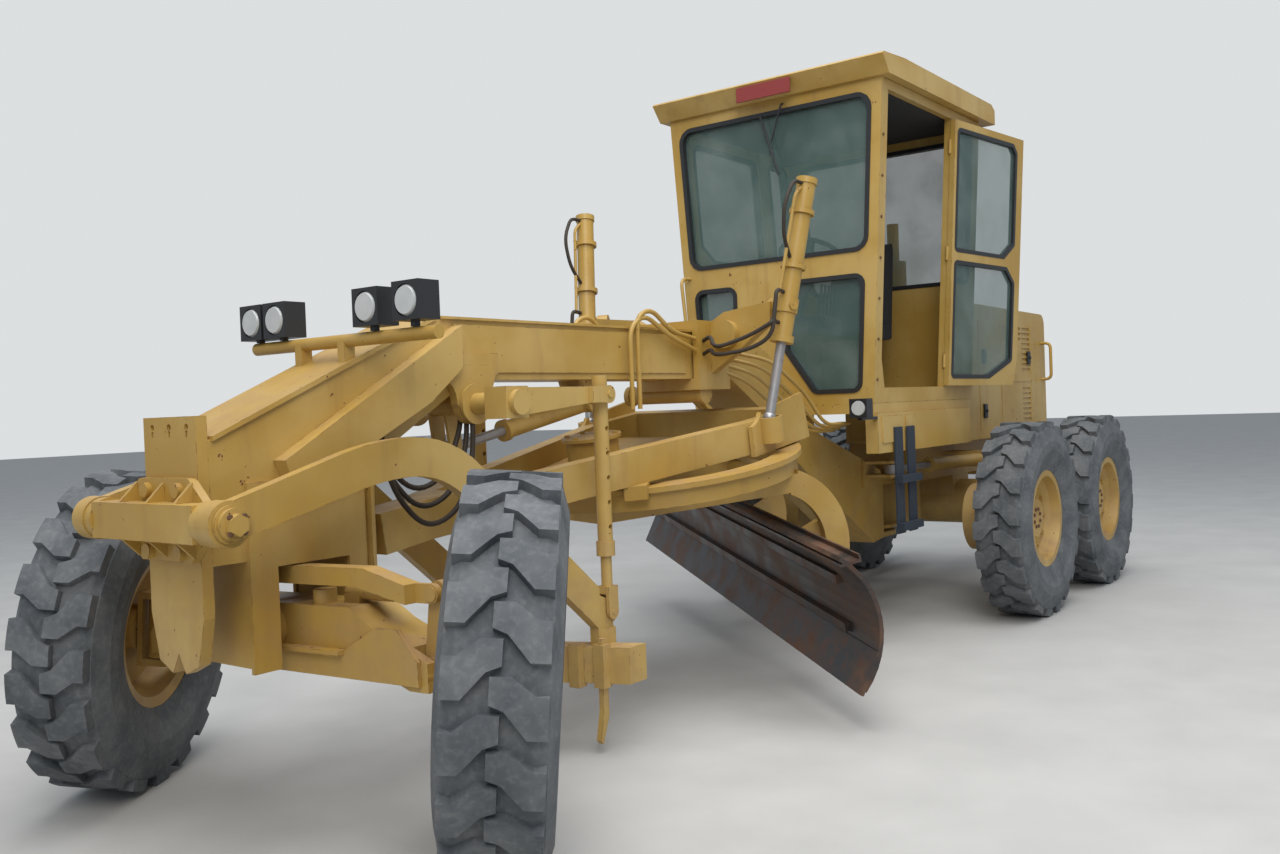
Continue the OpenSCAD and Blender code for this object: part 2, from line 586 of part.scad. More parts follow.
// Directions from the circle's middle to its shoes
shoe_angles = [28.2, -28.2, 141.8, -141.8];
module circle_shoe(a) translate([-circle_behind, 0, 0]) rotate([0, 0, a]) {
    block([ring_in + 15, -55, ring_top + seat], [circle_r + 35, 55, beam_low + 1]);
    block([circle_r + gap, -55, ring_top - flange_t - 20], [circle_r + 35, 55, ring_top + 1]);
    block([band_r + gap, -55, ring_top - flange_t - 20], [circle_r + 35, 55, ring_top - flange_t - seat]);
}
module drawbar() color(body_yellow) on_drawbar() difference() {
    union() {
        // Socket at the nose and the two beams of the A
        sphere(r = 78);
        block([-330, -90, beam_low], [-60, 90, beam_top]);
        both_sides() plate_z(beam_low, beam_h) polygon([
            [-300, 0], [-300, 90], [-2150, 575], [-2620, 575], [-2620, 485], [-2150, 485], [-480, 45], [-480, 0]]);
        // Cross member, round-cornered end plates and the plate over the circle
        block([-2620, -500, beam_low], [-2520, 500, beam_top]);
        both_sides() plate_y(575, 24) difference() {
            polygon([[-2060, beam_low - 10], [-2060, beam_top + 30], [-2600, beam_top + 75], [-2640, beam_low - 10]]);
            translate([-2060, beam_top + 90]) circle(r = 110);
        }
        plate_z(beam_low, 60) polygon([[-1350, -320], [-1350, 320], [-2300, 500], [-2300, -500]]);
        // Seats of the lift balls
        both_sides() translate([lift_seat.x, lift_seat.y, beam_low + 40])
            cylinder(r = lift_ball_r + lift_slack + 18, h = lift_seat.z - beam_low - 34);
        // Circle drive: motor housing, its flat cover and bolts
        translate([-1500, 0, beam_low + 50]) cylinder(r = 130, h = 150);
        translate([-1500, 0, beam_low + 199]) cylinder(r = 150, h = 16);
        for (a = [0:60:359])
            translate([-1500, 0, beam_low + 214]) rotate([0, 0, a]) translate([122, 0, 0]) cylinder(r = 14, h = 12, $fn = 6);
        for (a = shoe_angles)
            circle_shoe(a);
    }
    sphere(r = ball_r + fit);
    rotate([0, 90, 0]) cylinder(r = 41, h = 120);
    // Flat front of the socket, clear of the frame as the drawbar swings
    translate([ball_r + 1, -100, -100]) cube([60, 200, 200]);
    both_sides() translate(lift_seat) {
        sphere(r = lift_ball_r + lift_slack);
        cylinder(r1 = lift_ball_r + lift_slack, r2 = lift_ball_r + lift_slack + 28, h = 130);
    }
}
// Circle with the curved arms that carry the blade
arm_e = 430;
tip_pivot = [-692, -960];
tip_pin_r = 28;
arm_c = [-425, -630];
arm_r = 430;
arm_w = 130;
function around(c, r, a) = c + r * [cos(a), sin(a)];
module circle_arm() plate_y(arm_e, 50) difference() {
    union() {
        polygon([[600, ring_low + 2], [-640, ring_low + 2], [-590, ring_low - 90], [440, ring_low - 80], [600, ring_low - 30]]);
        intersection() {
            difference() {
                translate(arm_c) circle(r = arm_r, $fn = 96);
                translate(arm_c) circle(r = arm_r - arm_w, $fn = 96);
            }
            polygon([arm_c, around(arm_c, 600, 116), around(arm_c, 700, 170), around(arm_c, 600, 226)]);
        }
        polygon([around(arm_c, arm_r - 2, 222), [tip_pivot.x - 50, tip_pivot.y], [tip_pivot.x + 50, tip_pivot.y], around(arm_c, arm_r - arm_w + 2, 216)]);
        translate(tip_pivot) circle(r = 55);
    }
    translate(tip_pivot) circle(r = tip_pin_r + fit);
}
module blade_circle() color(body_yellow) on_circle() {
    rotate_extrude($fn = 96) polygon([
        [ring_in, ring_low], [band_r, ring_low], [band_r, ring_top - flange_t], [circle_r, ring_top - flange_t],
        [circle_r, ring_top], [ring_in, ring_top]]);
    both_sides() circle_arm();
    // Brace between the arms
    pin_y([-560, 0, ring_low - 60], 42, 2 * arm_e);
}
blade_x = -480;
blade_z = -1120;
module on_blade() on_circle() translate([blade_x, -blade_shift, blade_z]) rotate([0, blade_tip, 0]) children();
half_arc = asin(blade_h / 2 / blade_arc);
arc_x = blade_arc * cos(half_arc);
blade_section = concat(
    arc_points([arc_x, blade_h / 2], blade_arc, 180 - half_arc, 180 + half_arc, 12),
    arc_points([arc_x, blade_h / 2], blade_arc + blade_t, 180 + half_arc, 180 - half_arc, 12));
// Two rails along the blade's back, [x, z] in the blade's own frame, which slide in the carrier's jaws
rail_w = 44;
rails = [[-150, 190], [-150, 430]];
ledge_w = 105;
// Cutting edge, from its lower back corner up along the moldboard, [x, z]
edge_foot = [3, -27];
edge_run = [-120, 172];
edge_t = [16, 11];
module moldboard() color(steel) on_blade() {
    plate_y(0, blade_l) polygon(blade_section);
    plate_y(0, blade_l) polygon([edge_foot, edge_foot + edge_t, edge_foot + edge_t + edge_run, edge_foot + edge_run]);
    // Ledge behind the top edge and its thin upstanding rim
    block([-ledge_w, -blade_l / 2, blade_h - 30], [-4, blade_l / 2, blade_h - 16]);
    block([-ledge_w, -blade_l / 2, blade_h - 30], [-ledge_w + 10, blade_l / 2, blade_h + 6]);
    for (r = rails)
        block([r[0] - rail_w / 2, -blade_l / 2 + 300, r[1] - rail_w / 2], [r[0] + 60, blade_l / 2 - 300, r[1] + rail_w / 2]);
}
// Carrier: hinge bar across the arms and, inside each arm, a plate with two jaws for the rails
module blade_carrier() color(body_yellow) {
    on_circle() pin_y([tip_pivot.x, 0, tip_pivot.y], tip_pin_r, 2 * arm_e + 80);
    for (s = [-1, 1])
        on_blade() plate_y(blade_shift + s * (arm_e - 70), 50) difference() {
            polygon([[-262, 90], [-160, 90], [-160, 520], [-300, 560], [-300, 300]]);
            for (r = rails)
                translate([r[0] - rail_w / 2 - fit, r[1] - rail_w / 2 - fit]) square([120, rail_w + 2 * fit]);
        }
}
// Blade lift cylinders
lift_rod_r = 25;
module lift_barrel(s) color(body_yellow) difference() {
    union() {
        bar(lift_line(s, 0.34), lift_line(s, 1), lift_r);
        bar(lift_line(s, 0.315), lift_line(s, 0.345), lift_r + 12);
        bar(lift_line(s, trunnion_t - 0.03), lift_line(s, trunnion_t + 0.03), lift_r + 8);
        bar(lift_line(s, 0.985), lift_line(s, 1.01), lift_r + 6);
        bar(trunnion_at(s, -boss_in), trunnion_at(s, boss_in + 60), trunnion_r);
    }
    bar(lift_line(s, 0.30), lift_line(s, 0.93), lift_rod_r + fit);
}
module lift_rod(s) color(steel) {
    translate(lift_line(s, 0)) sphere(r = lift_ball_r);
    bar(lift_line(s, 0), lift_line(s, 0.62), lift_rod_r);
}

// Articulation cylinders
front_slack = 20;
function articulation_line(s, t) = [
    rear_eye.x + (front_eye.x - rear_eye.x) * t, s * (rear_eye.y + (front_eye.y - rear_eye.y) * t), articulation_z];
module articulation_barrel(s) color(body_yellow) difference() {
    union() {
        bar(articulation_line(s, 0), articulation_line(s, 0.08), 26);
        bar(articulation_line(s, 0.075), articulation_line(s, 0.62), 45);
        bar(articulation_line(s, 0.60), articulation_line(s, 0.625), 54);
        pin_z(articulation_line(s, 0), 44, 58);
    }
    bar(articulation_line(s, 0.1), articulation_line(s, 0.63), 22 + fit);
    pin_z(articulation_line(s, 0), rear_pin_r + fit, 200);
}
module articulation_rod(s) color(steel) difference() {
    union() {
        bar(articulation_line(s, 0.28), articulation_line(s, 0.965), 22);
        pin_z(articulation_line(s, 1), front_pin_r + front_slack + 14, 58);
    }
    pin_z(articulation_line(s, 1), front_pin_r + front_slack, 200);
}

// Scarifier: arms of two arcs from the nose pin over a crest, then straight down to the V block
arm_h = 145;
arm_t = 50;
crest = [back(250), 1430];
front_arc = [1175, 15.3];
rear_arc = [544, 40];
front_arc_c = crest - [0, front_arc[0]];
rear_arc_c = crest - [0, rear_arc[0]];
rear_start = rear_arc_c + rear_arc[0] * [cos(90 + rear_arc[1]), sin(90 + rear_arc[1])];
// Height of the straight stretch's outer edge at x
function arm_top(x) = rear_start.y + (x - rear_start.x) * tan(rear_arc[1]);
foot_x = back(block_back - 85);
toe_x = back(block_back - 100);
link_x = back(block_back);
link_low_z = 600;
link_top_z = rock_z + 24;
ear_r = 52;
ear_slack = 18;
link_low_pin_r = 12;
block_z = 300;
block_h = 160;
socket_pitch = 107.5;
// Front edge of the V block at y, behind the front axle
function v_back(y) = block_back - 280 + 220 * abs(y) / block_half;
module scarifier_tooth(y) let (x = back(v_back(y)))
    plate_y(y, 26) polygon([[x - 18, 500], [x + 18, 500], [x + 18, 190], [x + 45, 60], [x + 30, 42], [x - 18, 160]]);
module scarifier() color(body_yellow) {
    both_sides() {
        difference() {
            union() {
                plate_y(draft_y, arm_t) polygon(concat(
                    [[nose_pin_x, nose_pin_z - 66], [nose_pin_x, nose_pin_z + 66]],
                    arc_points(front_arc_c, front_arc[0], 90 - front_arc[1], 90, 6),
                    arc_points(rear_arc_c, rear_arc[0], 90 + rear_arc[1] / 6, 90 + rear_arc[1], 5),
                    [[foot_x, arm_top(foot_x)], [foot_x, 530], [link_x - 20, 530], [link_x - 20, block_z + 140],
                        [toe_x, block_z + 140], [toe_x, arm_top(toe_x) - arm_h / cos(rear_arc[1])]],
                    arc_points(rear_arc_c, rear_arc[0] - arm_h, 90 + rear_arc[1], 90 + rear_arc[1] / 6, 5),
                    arc_points(front_arc_c, front_arc[0] - arm_h, 90, 90 - front_arc[1], 6)));
                pin_y([nose_pin_x, draft_y, nose_pin_z], 76, 74);
            }
            pin_y([nose_pin_x, draft_y, nose_pin_z], pin_end_r + fit, 200);
        }
        // Ear between the link's cheeks
        plate_y(draft_y, 30) difference() {
            union() {
                polygon([[foot_x + 5, 690], [link_x, link_low_z + ear_r - 1], [link_x - 18, 520], [foot_x + 5, 520]]);
                translate([link_x, link_low_z]) circle(r = ear_r);
            }
            translate([link_x, link_low_z]) circle(r = link_low_pin_r + ear_slack);
        }
        scarifier_tooth(4 * socket_pitch);
    }
    plate_z(block_z, block_h) polygon([
        [back(v_back(0)), 0], [back(v_back(block_half)), block_half], [back(v_back(block_half) + 120), block_half],
        [back(v_back(0) + 120), 0], [back(v_back(block_half) + 120), -block_half], [back(v_back(block_half)), -block_half]]);
    // Tooth sockets along both legs of the V
    for (i = [-4:4])
        let (y = i * socket_pitch, x = back(v_back(y)))
            block([x - 25, y - 28, block_z - 15], [x + 30, y + 28, block_z + block_h + 15]);
}
// Rock shaft: its arms carry the links, and a lever takes the cylinder's rod
link_r = 34;
link_pin_r = 16;
lever = [-27, -189];
lever_pin_r = 14;
rod_eye_slack = 8;
module rock_shaft() color(body_yellow) {
    pin_y([back(rock_back), 0, rock_z], rock_shaft_r, 2 * (draft_y - 60));
    both_sides() {
        pin_y([back(rock_back), 205, rock_z], 85, 16);
        block([back(rock_back + 65), draft_y - 65, rock_z - 65], [back(rock_back - 65), draft_y + 55, rock_z + 65]);
        pin_y([back(rock_back), draft_y + 68, rock_z], 52, 28);
        plate_y(draft_y, 60) polygon([
            [back(rock_back), rock_z + 60], [back(rock_back), rock_z - 60], [link_x + 100, link_top_z - 36], [link_x + 100, link_top_z + 36]]);
        // Fork round the link's top
        block([link_x + 70, draft_y - 58, link_top_z - 36], [link_x + 115, draft_y + 58, link_top_z + 36]);
        for (s = [-1, 1])
            plate_y(draft_y + s * 50, 16) union() {
                polygon([[link_x + 75, link_top_z - 36], [link_x + 75, link_top_z + 36], [link_x, link_top_z + 39], [link_x, link_top_z - 39]]);
                translate([link_x, link_top_z]) circle(r = 40);
            }
        pin_y([link_x, draft_y, link_top_z], link_pin_r, 132);
    }
    for (y = [-48, 48])
        plate_y(y, 16) polygon([
            [back(rock_back) - 40, rock_z + 35], [back(rock_back) + 42, rock_z + 30], [back(rock_back) + lever.x + 32, rock_z + lever.y - 25],
            [back(rock_back) + lever.x - 32, rock_z + lever.y - 25]]);
    pin_y([back(rock_back) + lever.x, 0, rock_z + lever.y], lever_pin_r, 112);
}
module scarifier_links() color(body_yellow) both_sides() {
    difference() {
        union() {
            bar([link_x, draft_y, 850], [link_x, draft_y, link_top_z + 85], link_r);
            bar([link_x, draft_y, 850], [link_x, draft_y, 915], link_r + 8);
        }
        pin_y([link_x, draft_y, link_top_z], link_pin_r + fit, 100);
        for (z = [980:110:1420])
            pin_y([link_x, draft_y, z], 11, 100);
    }
    bar([link_x, draft_y, 700], [link_x, draft_y, 851], 25);
    block([link_x - 34, draft_y - 35, link_low_z + 80], [link_x + 34, draft_y + 35, link_low_z + 115]);
    for (s = [-1, 1])
        plate_y(draft_y + s * 27, 16) union() {
            polygon([[link_x - 34, link_low_z], [link_x + 34, link_low_z], [link_x + 34, link_low_z + 81], [link_x - 34, link_low_z + 81]]);
            translate([link_x, link_low_z]) circle(r = 34);
        }
    pin_y([link_x, draft_y, link_low_z], link_low_pin_r, 76);
}
scarifier_eye = [back(rock_back) + lever.x, 0, rock_z + lever.y];
scarifier_rod_r = 22;
function scarifier_line(t) = scarifier_pin + (scarifier_eye - scarifier_pin) * t;
module scarifier_barrel() color(body_yellow) difference() {
    union() {
        bar(scarifier_line(0), scarifier_line(0.62), 42);
        bar(scarifier_line(0.6), scarifier_line(0.63), 50);
        pin_y(scarifier_pin, 42, 100);
    }
    bar(scarifier_line(0.12), scarifier_line(0.64), scarifier_rod_r + fit);
    pin_y(scarifier_pin, scarifier_pin_r + fit, 200);
}
module scarifier_rod() color(steel) difference() {
    union() {
        bar(scarifier_line(0.3), scarifier_line(0.97), scarifier_rod_r);
        pin_y(scarifier_eye, lever_pin_r + rod_eye_slack + 14, 66);
    }
    pin_y(scarifier_eye, lever_pin_r + rod_eye_slack, 200);
}

// Cab: its side walls lean outwards from the floor to the roof
side_lean = atan((cab_top_half - cab_low_half) / (cab_top_z - cab_floor_z));
side_h = norm([cab_top_half - cab_low_half, cab_top_z - cab_floor_z]);
function half_at(z) = cab_low_half + (z - cab_floor_z) * (cab_top_half - cab_low_half) / (cab_top_z - cab_floor_z);
// Children drawn in the side wall's own plane, as [x, height up the slope], its outer face at y = 0
module on_side() translate([0, cab_low_half, cab_floor_z]) rotate([-side_lean, 0, 0]) children();
module wall_panel(t) rotate([90, 0, 0]) linear_extrude(t) children();
cab_front_in = cab_front_x - wall_t;
cab_rear_in = cab_rear_x + wall_t;
pillar_x = cab_front_x - 90 - door_w - 10;
skirt_y = cab_low_half + 20;
// Top of the frame behind the cab's front wall
function frame_slope(x) = cab_floor_z - 115 - (cab_floor_z - 115 - 1010) * (cab_front_x - x) / (cab_front_x - hitch_x - 190);
module cab_floor() color(body_yellow) {
    block([cab_rear_x, -cab_low_half, cab_floor_z - 60], [cab_front_x, cab_low_half, cab_floor_z - seat]);
    both_sides() {
        block([cab_rear_x + 80, cab_low_half - 60, cab_floor_z - 300], [cab_front_x, skirt_y, cab_floor_z - 59]);
        // Brackets of the steps
        for (b = [[50, 330], [390, 480]])
            block([back(cab_front_back + b[1]), skirt_y - 1, cab_floor_z - 240], [back(cab_front_back + b[0]), skirt_y + 8, cab_floor_z - 80]);
    }
    // Mount down to the frame
    plate_y(0, 300) polygon([
        [cab_front_x - 160, frame_slope(cab_front_x - 160) + seat], [cab_front_x - 60, frame_slope(cab_front_x - 60) + seat],
        [cab_front_x - 60, cab_floor_z - 59], [cab_front_x - 160, cab_floor_z - 59]]);
}
module cab_end_shape() polygon([
    [-cab_low_half, cab_floor_z], [cab_low_half, cab_floor_z], [cab_top_half, cab_top_z], [-cab_top_half, cab_top_z]]);
// Outlines of the windows, drawn c inside their cuts
glass_low_z = cab_floor_z + 920;
glass_top_z = cab_top_z - 80;
corner_r = 80;
function end_window(side, low, high, c) = rounded([
    [-half_at(low) + side + c, low + c], [half_at(low) - side - c, low + c], [half_at(high) - side - c, high - c], [-half_at(high) + side + c, high - c]],
    corner_r - c);
function windscreen(c) = end_window(75, glass_low_z, glass_top_z, c);
function rear_window(c) = end_window(120, glass_low_z - 100, glass_top_z - 40, c);
// Lower light of the front wall: s is its side, y_in its inner edge, low its bottom, cut its chamfer
function lower_light(s, y_in, low, cut, c) = let (high = glass_low_z - 155) rounded([
    [s * (y_in + c), high - c], [s * (half_at(high) - 90 - c), high - c], [s * (half_at(low) - 90 - c), low + c],
    [s * (y_in + cut + c), low + c], [s * (y_in + c), low + 1.4 * cut + c]], 50 - c);
lower_lights = [[1, 60, cab_floor_z + 80, 190], [-1, 300, cab_floor_z + 160, 100]];
module cab_front() color(body_yellow) plate_x(cab_front_in, wall_t) difference() {
    cab_end_shape();
    polygon(windscreen(0));
    for (l = lower_lights)
        polygon(lower_light(l[0], l[1], l[2], l[3], 0));
}
module cab_rear() color(body_yellow) plate_x(cab_rear_x, wall_t) difference() {
    cab_end_shape();
    polygon(rear_window(0));
}
door_r = 11;
door_top = side_h - 60;
function quarter_light(c) = rounded([
    [cab_rear_in + 90 + c, 800 + c], [pillar_x - 110 - c, 800 + c], [pillar_x - 110 - c, side_h - 120 - c], [cab_rear_in + 90 + c, side_h - 120 - c]], 60 - c);
module cab_sides() color(body_yellow) both_sides() on_side() difference() {
    wall_panel(wall_t) difference() {
        polygon([[cab_rear_in + seat, 1], [cab_front_in - seat, 1], [cab_front_in - seat, side_h - 4], [cab_rear_in + seat, side_h - 4]]);
        polygon([[pillar_x, 90], [cab_front_x - 140, 90], [cab_front_x - 90, 260], [cab_front_x - 90, door_top], [pillar_x, door_top]]);
        polygon(quarter_light(0));
    }
    // Recesses round the door's hinge barrels
    for (z = door_hinges)
        translate([pillar_x + 8, 0, 98 + z - 2]) cylinder(r = door_r + 0.6, h = 94);
}
roof_h = 110;
module cab_roof() color(body_yellow) {
    roof_front = cab_front_x + 110;
    roof_rear = cab_rear_x - 146;
    plate_y(0, 2 * (cab_top_half + 60)) polygon([
        [roof_rear, cab_top_z + seat], [roof_front - 80, cab_top_z + seat], [roof_front, cab_top_z + roof_h - 12], [roof_front - 12, cab_top_z + roof_h],
        [roof_front - 300, cab_top_z + roof_h + 22], [roof_rear + 60, cab_top_z + roof_h + 22], [roof_rear, cab_top_z + roof_h - 10]]);
}
glass_t = 6;
module cab_glass() color(pane) {
    plate_x(cab_front_in + 10, glass_t) {
        polygon(windscreen(seat));
        for (l = lower_lights)
            polygon(lower_light(l[0], l[1], l[2], l[3], seat));
    }
    plate_x(cab_rear_x + 20, glass_t) polygon(rear_window(seat));
    both_sides() on_side() translate([0, -20, 0]) wall_panel(glass_t) polygon(quarter_light(seat));
}
seat_x = cab_rear_x + 300;
module operator_seat() color(black) {
    plate_y(0, 460) polygon([
        [seat_x + 120, cab_floor_z + 430], [seat_x + 560, cab_floor_z + 430], [seat_x + 600, cab_floor_z + 500], [seat_x + 570, cab_floor_z + 545], [seat_x + 120, cab_floor_z + 530]]);
    plate_y(0, 440) polygon([
        [seat_x + 60, cab_floor_z + 440], [seat_x + 140, cab_floor_z + 440], [seat_x + 130, cab_floor_z + 560], [seat_x + 70, cab_floor_z + 1090], [seat_x, cab_floor_z + 1110], [seat_x - 10, cab_floor_z + 1060]]);
    block([seat_x + 180, -150, cab_floor_z], [seat_x + 480, 150, cab_floor_z + 431]);
}
wheel_at = [cab_front_x - 470, 0, cab_floor_z + 960];
module control_console() color(black) {
    block([cab_front_x - 330, -120, cab_floor_z], [cab_front_x - 140, 120, cab_floor_z + 560]);
    bar([cab_front_x - 235, 0, cab_floor_z + 540], wheel_at, 38);
    // Steering wheel: hub, spokes and rim
    translate(wheel_at) rotate([0, -29, 0]) {
        cylinder(r = 48, h = 30);
        rotate_extrude() translate([205, 15]) circle(r = 15, $fn = 24);
        for (a = [30, 150, 270])
            rotate([0, 0, a]) translate([20, -12, 9]) cube([180, 24, 12]);
    }
    // Lever banks on both sides of the column
    both_sides() {
        block([cab_front_x - 400, 119, cab_floor_z + 480], [cab_front_x - 180, 240, cab_floor_z + 560]);
        for (i = [0:3])
            bar([cab_front_x - 370 + i * 50, 180, cab_floor_z + 559], [cab_front_x - 400 + i * 50, 190, cab_floor_z + 760], 9);
    }
}
// Steps: two hanging straps with treads between them
strap_x = [cab_front_back + 250, cab_front_back + 430];
module cab_steps() color(black) both_sides() {
    for (b = strap_x)
        block([back(b + 55), skirt_y + 8 + seat, 680], [back(b - 55), skirt_y + 20, cab_floor_z - 150]);
    for (z = [700, 990])
        block([back(strap_x[1] + 55), skirt_y + 19, z], [back(strap_x[0] - 55), cab_low_half + 80, z + 45]);
}
door_h = side_h - 60 - 90 - 16;
door_hinges = [120, 830, door_h - 220];
door_l = door_w - 8;
lock_z = 870;
// Outlines of a door's two windows, c inside their cuts, from its hinge edge and its foot
function door_low_window(c) = rounded([
    [45 + c, 60 + c], [door_l - 400 - c, 60 + c], [door_l - 90 - c, 180 + c], [door_l - 90 - c, lock_z - 145 - c], [door_l - 200 - c, lock_z - 50 - c], [45 + c, lock_z - 50 - c]], 26 - c);
function door_high_window(c) = rounded([
    [45 + c, lock_z + 30 + c], [door_l - 243 - c, lock_z + 30 + c], [door_l - 100 - c, lock_z + 128 + c],
    [door_l - 100 - c, door_h - 110 - c], [door_l - 150 - c, door_h - 60 - c], [45 + c, door_h - 60 - c]], 26 - c);
module on_door(turn) on_side() translate([pillar_x + 8, 0, 98]) rotate([0, 0, turn]) children();
module door_panel() {
    difference() {
        wall_panel(36) difference() {
            polygon([[0, 0], [door_l - 50, 0], [door_l, 170], [door_l, door_h], [0, door_h]]);
            polygon(door_low_window(0));
            polygon(door_high_window(0));
        }
    }
    for (z = door_hinges)
        translate([0, 0, z]) cylinder(r = door_r, h = 90);
    // Lock box, which laps over the front pillar
    translate([0, 25, 0]) wall_panel(26) polygon([[door_l - 85, lock_z - 95], [door_l - 30, lock_z - 120], [door_l - 5, lock_z - 60],
        [door_l - 5, lock_z + 90], [door_l - 40, lock_z + 120], [door_l - 85, lock_z + 120]]);
    translate([0, 25, 0]) wall_panel(19) polygon([[door_l - 30, lock_z - 120], [door_l + 40, lock_z - 60], [door_l + 40, lock_z + 60], [door_l - 30, lock_z + 120]]);
}
module door_panes() translate([0, -15, 0]) wall_panel(glass_t) {
    polygon(door_low_window(seat));
    polygon(door_high_window(seat));
}
module door_left() color(body_yellow) on_door(door_open) door_panel();
module door_left_glass() color(pane) on_door(door_open) door_panes();
module door_right() color(body_yellow) mirror([0, 1, 0]) on_door(0) door_panel();
module door_right_glass() color(pane) mirror([0, 1, 0]) on_door(0) door_panes();

// Rear unit: two rails behind the hitch, the deck under the hood and the tandem axle
rail_y = 220;
deck_z = hood_low_z - 20;
axle_z = 690;
rear_end = 160;
module rear_frame() color(body_yellow) {
    both_sides() block([back(hood_rear_back + 70), rail_y - 30, 900], [hitch_x - 250, rail_y + 30, deck_z]);
    block([hitch_x - 270, -rail_y - 30, 586], [hitch_x - 175, rail_y + 30, deck_z]);
    plate_z(deck_z - 12, 12) polygon([
        [back(hood_front_back), -hood_half], [back(hood_rear_back + 70), -hood_half],
        [back(hood_rear_back + 70), hood_half], [back(hood_front_back), hood_half]]);
    for (z = [900, 586])
        difference() {
            union() {
                block([hitch_x - 200, -140, z], [hitch_x, 140, z + 24]);
                translate([hitch_x, 0, z]) cylinder(r = 140, h = 24);
            }
            translate([hitch_x, 0, z - 1]) cylinder(r = hitch_pin_r + fit, h = 30);
        }
    // Lugs of the articulation cylinders
    both_sides() {
        for (z = [articulation_z - 57, articulation_z + 33])
            plate_z(z, 24) difference() {
                union() {
                    polygon([[rear_eye.x - 130, rail_y], [rear_eye.x + 130, rail_y], [rear_eye.x + 40, rear_eye.y], [rear_eye.x - 40, rear_eye.y]]);
                    translate(rear_eye) circle(r = 45);
                }
                translate(rear_eye) circle(r = rear_pin_r - 1);
            }
        pin_z([rear_eye.x, rear_eye.y, articulation_z], rear_pin_r, 130);
    }
    // Final drive and axle housing
    pin_y([back(wheelbase), 0, axle_z], 170, 2 * (tandem_in - seat));
    block([back(wheelbase) - 160, -rail_y - 30, axle_z], [back(wheelbase) + 160, rail_y + 30, 901]);
    // Rear bumper
    block([back(hood_rear_back + rear_end), -430, 780], [back(hood_rear_back + 68), 430, deck_z]);
}
tandem_in = 640;
tandem_out = 800;
hood_corner = 90;
// Louvres of the hood's sides: from, to behind the front axle, lowest slot, how many
louvre_pitch = 42;
louvre_h = 22;
louvres = [[1445, 1645, 1236, 8], [1445, 1645, 1690, 9], [975, 1420, 1942, 3]];
module hood_shape(t) {
    rear = back(hood_rear_back);
    polygon(concat(
        [[rear + (t > 0 ? -1 : 0), deck_z + seat - (t > 0 ? 2 : 0)], [back(hood_front_back + t), deck_z + seat - (t > 0 ? 2 : 0)],
            [back(hood_front_back + t), hood_top_z - t]],
        arc_points([rear + hood_corner, hood_rear_z - hood_corner], hood_corner - t, 90, 180, 6),
        t > 0 ? [[rear + t, hood_rear_z - hood_corner - 10], [rear - 1, hood_rear_z - hood_corner - 10]] : []));
}
module engine_hood() color(body_yellow) {
    difference() {
        plate_y(0, 2 * hood_half) hood_shape(0);
        plate_y(0, 2 * (hood_half - panel_t)) hood_shape(panel_t);
        both_sides()
            for (l = louvres, i = [0:l[3] - 1])
                block([back(hood_front_back + l[1]), hood_half - 8, l[2] + i * louvre_pitch],
                    [back(hood_front_back + l[0]), hood_half + 1, l[2] + i * louvre_pitch + louvre_h]);
    }
    // Exhaust on the hood behind the cab
    translate([back(hood_front_back + 430), -200, hood_top_z - 10]) cylinder(r = 95, h = 388);
    translate([back(hood_front_back + 430), -200, hood_top_z + 377]) cylinder(r = 45, h = 300);
}
grille_bars = 9;
module radiator_grille() color(black) {
    x = back(hood_rear_back - 20);
    half = hood_half - panel_t - seat;
    top = hood_rear_z - hood_corner - 5;
    difference() {
        block([x, -half, deck_z + seat], [x + 40, half, top]);
        for (i = [0:grille_bars - 1])
            let (w = (2 * half - 60) / grille_bars, y = -half + 30 + i * w)
                block([x - 1, y + 12, deck_z + 60], [x + 41, y + w - 12, top - 50]);
    }
}
module engine_block() color(black) block([back(hood_front_back + 1180), -250, deck_z + seat], [back(hood_front_back + 80), 250, hood_top_z - 300]);
module tandem_cases() color(body_yellow) both_sides() {
    plate_y((tandem_in + tandem_out) / 2, tandem_out - tandem_in) {
        for (x = [mid_x, rear_x])
            translate([x, tyre_r]) circle(r = 230);
        polygon([[mid_x, tyre_r - 200], [mid_x, tyre_r + 230], [rear_x, tyre_r + 230], [rear_x, tyre_r - 200]]);
    }
    for (x = [mid_x, rear_x]) {
        bar([x, tandem_out - 1, tyre_r], [x, rear_track / 2 - 50, tyre_r], 110);
        bar([x, tandem_out, tyre_r], [x, rear_track / 2 + 10, tyre_r], spindle_r);
    }
}

main_frame();
nose_mount();
work_lamps();
lift_saddle();
front_axle();
cab_floor();
cab_front();
cab_rear();
cab_sides();
cab_roof();
cab_glass();
operator_seat();
control_console();
cab_steps();
door_left();
door_left_glass();
door_right();
door_right_glass();
rear_frame();
engine_hood();
radiator_grille();
engine_block();
tandem_cases();
at_front_wheel(1) tyre();  // tyre_front_left
at_front_wheel(1) rim();  // rim_front_left
at_front_wheel(-1) tyre();  // tyre_front_right
at_front_wheel(-1) rim();  // rim_front_right
at_rear_wheel(mid_x, 1) tyre();  // tyre_mid_left
at_rear_wheel(mid_x, 1) rim();  // rim_mid_left
at_rear_wheel(mid_x, -1) tyre();  // tyre_mid_right
at_rear_wheel(mid_x, -1) rim();  // rim_mid_right
at_rear_wheel(rear_x, 1) tyre();  // tyre_rear_left
at_rear_wheel(rear_x, 1) rim();  // rim_rear_left
at_rear_wheel(rear_x, -1) tyre();  // tyre_rear_right
at_rear_wheel(rear_x, -1) rim();  // rim_rear_right
lean_casting(1);  // lean_left
lean_casting(-1);  // lean_right
lean_bar();
knuckle(1);  // knuckle_left
knuckle(-1);  // knuckle_right
tie_end();
tie_rod();
drawbar();
blade_circle();
blade_carrier();
moldboard();
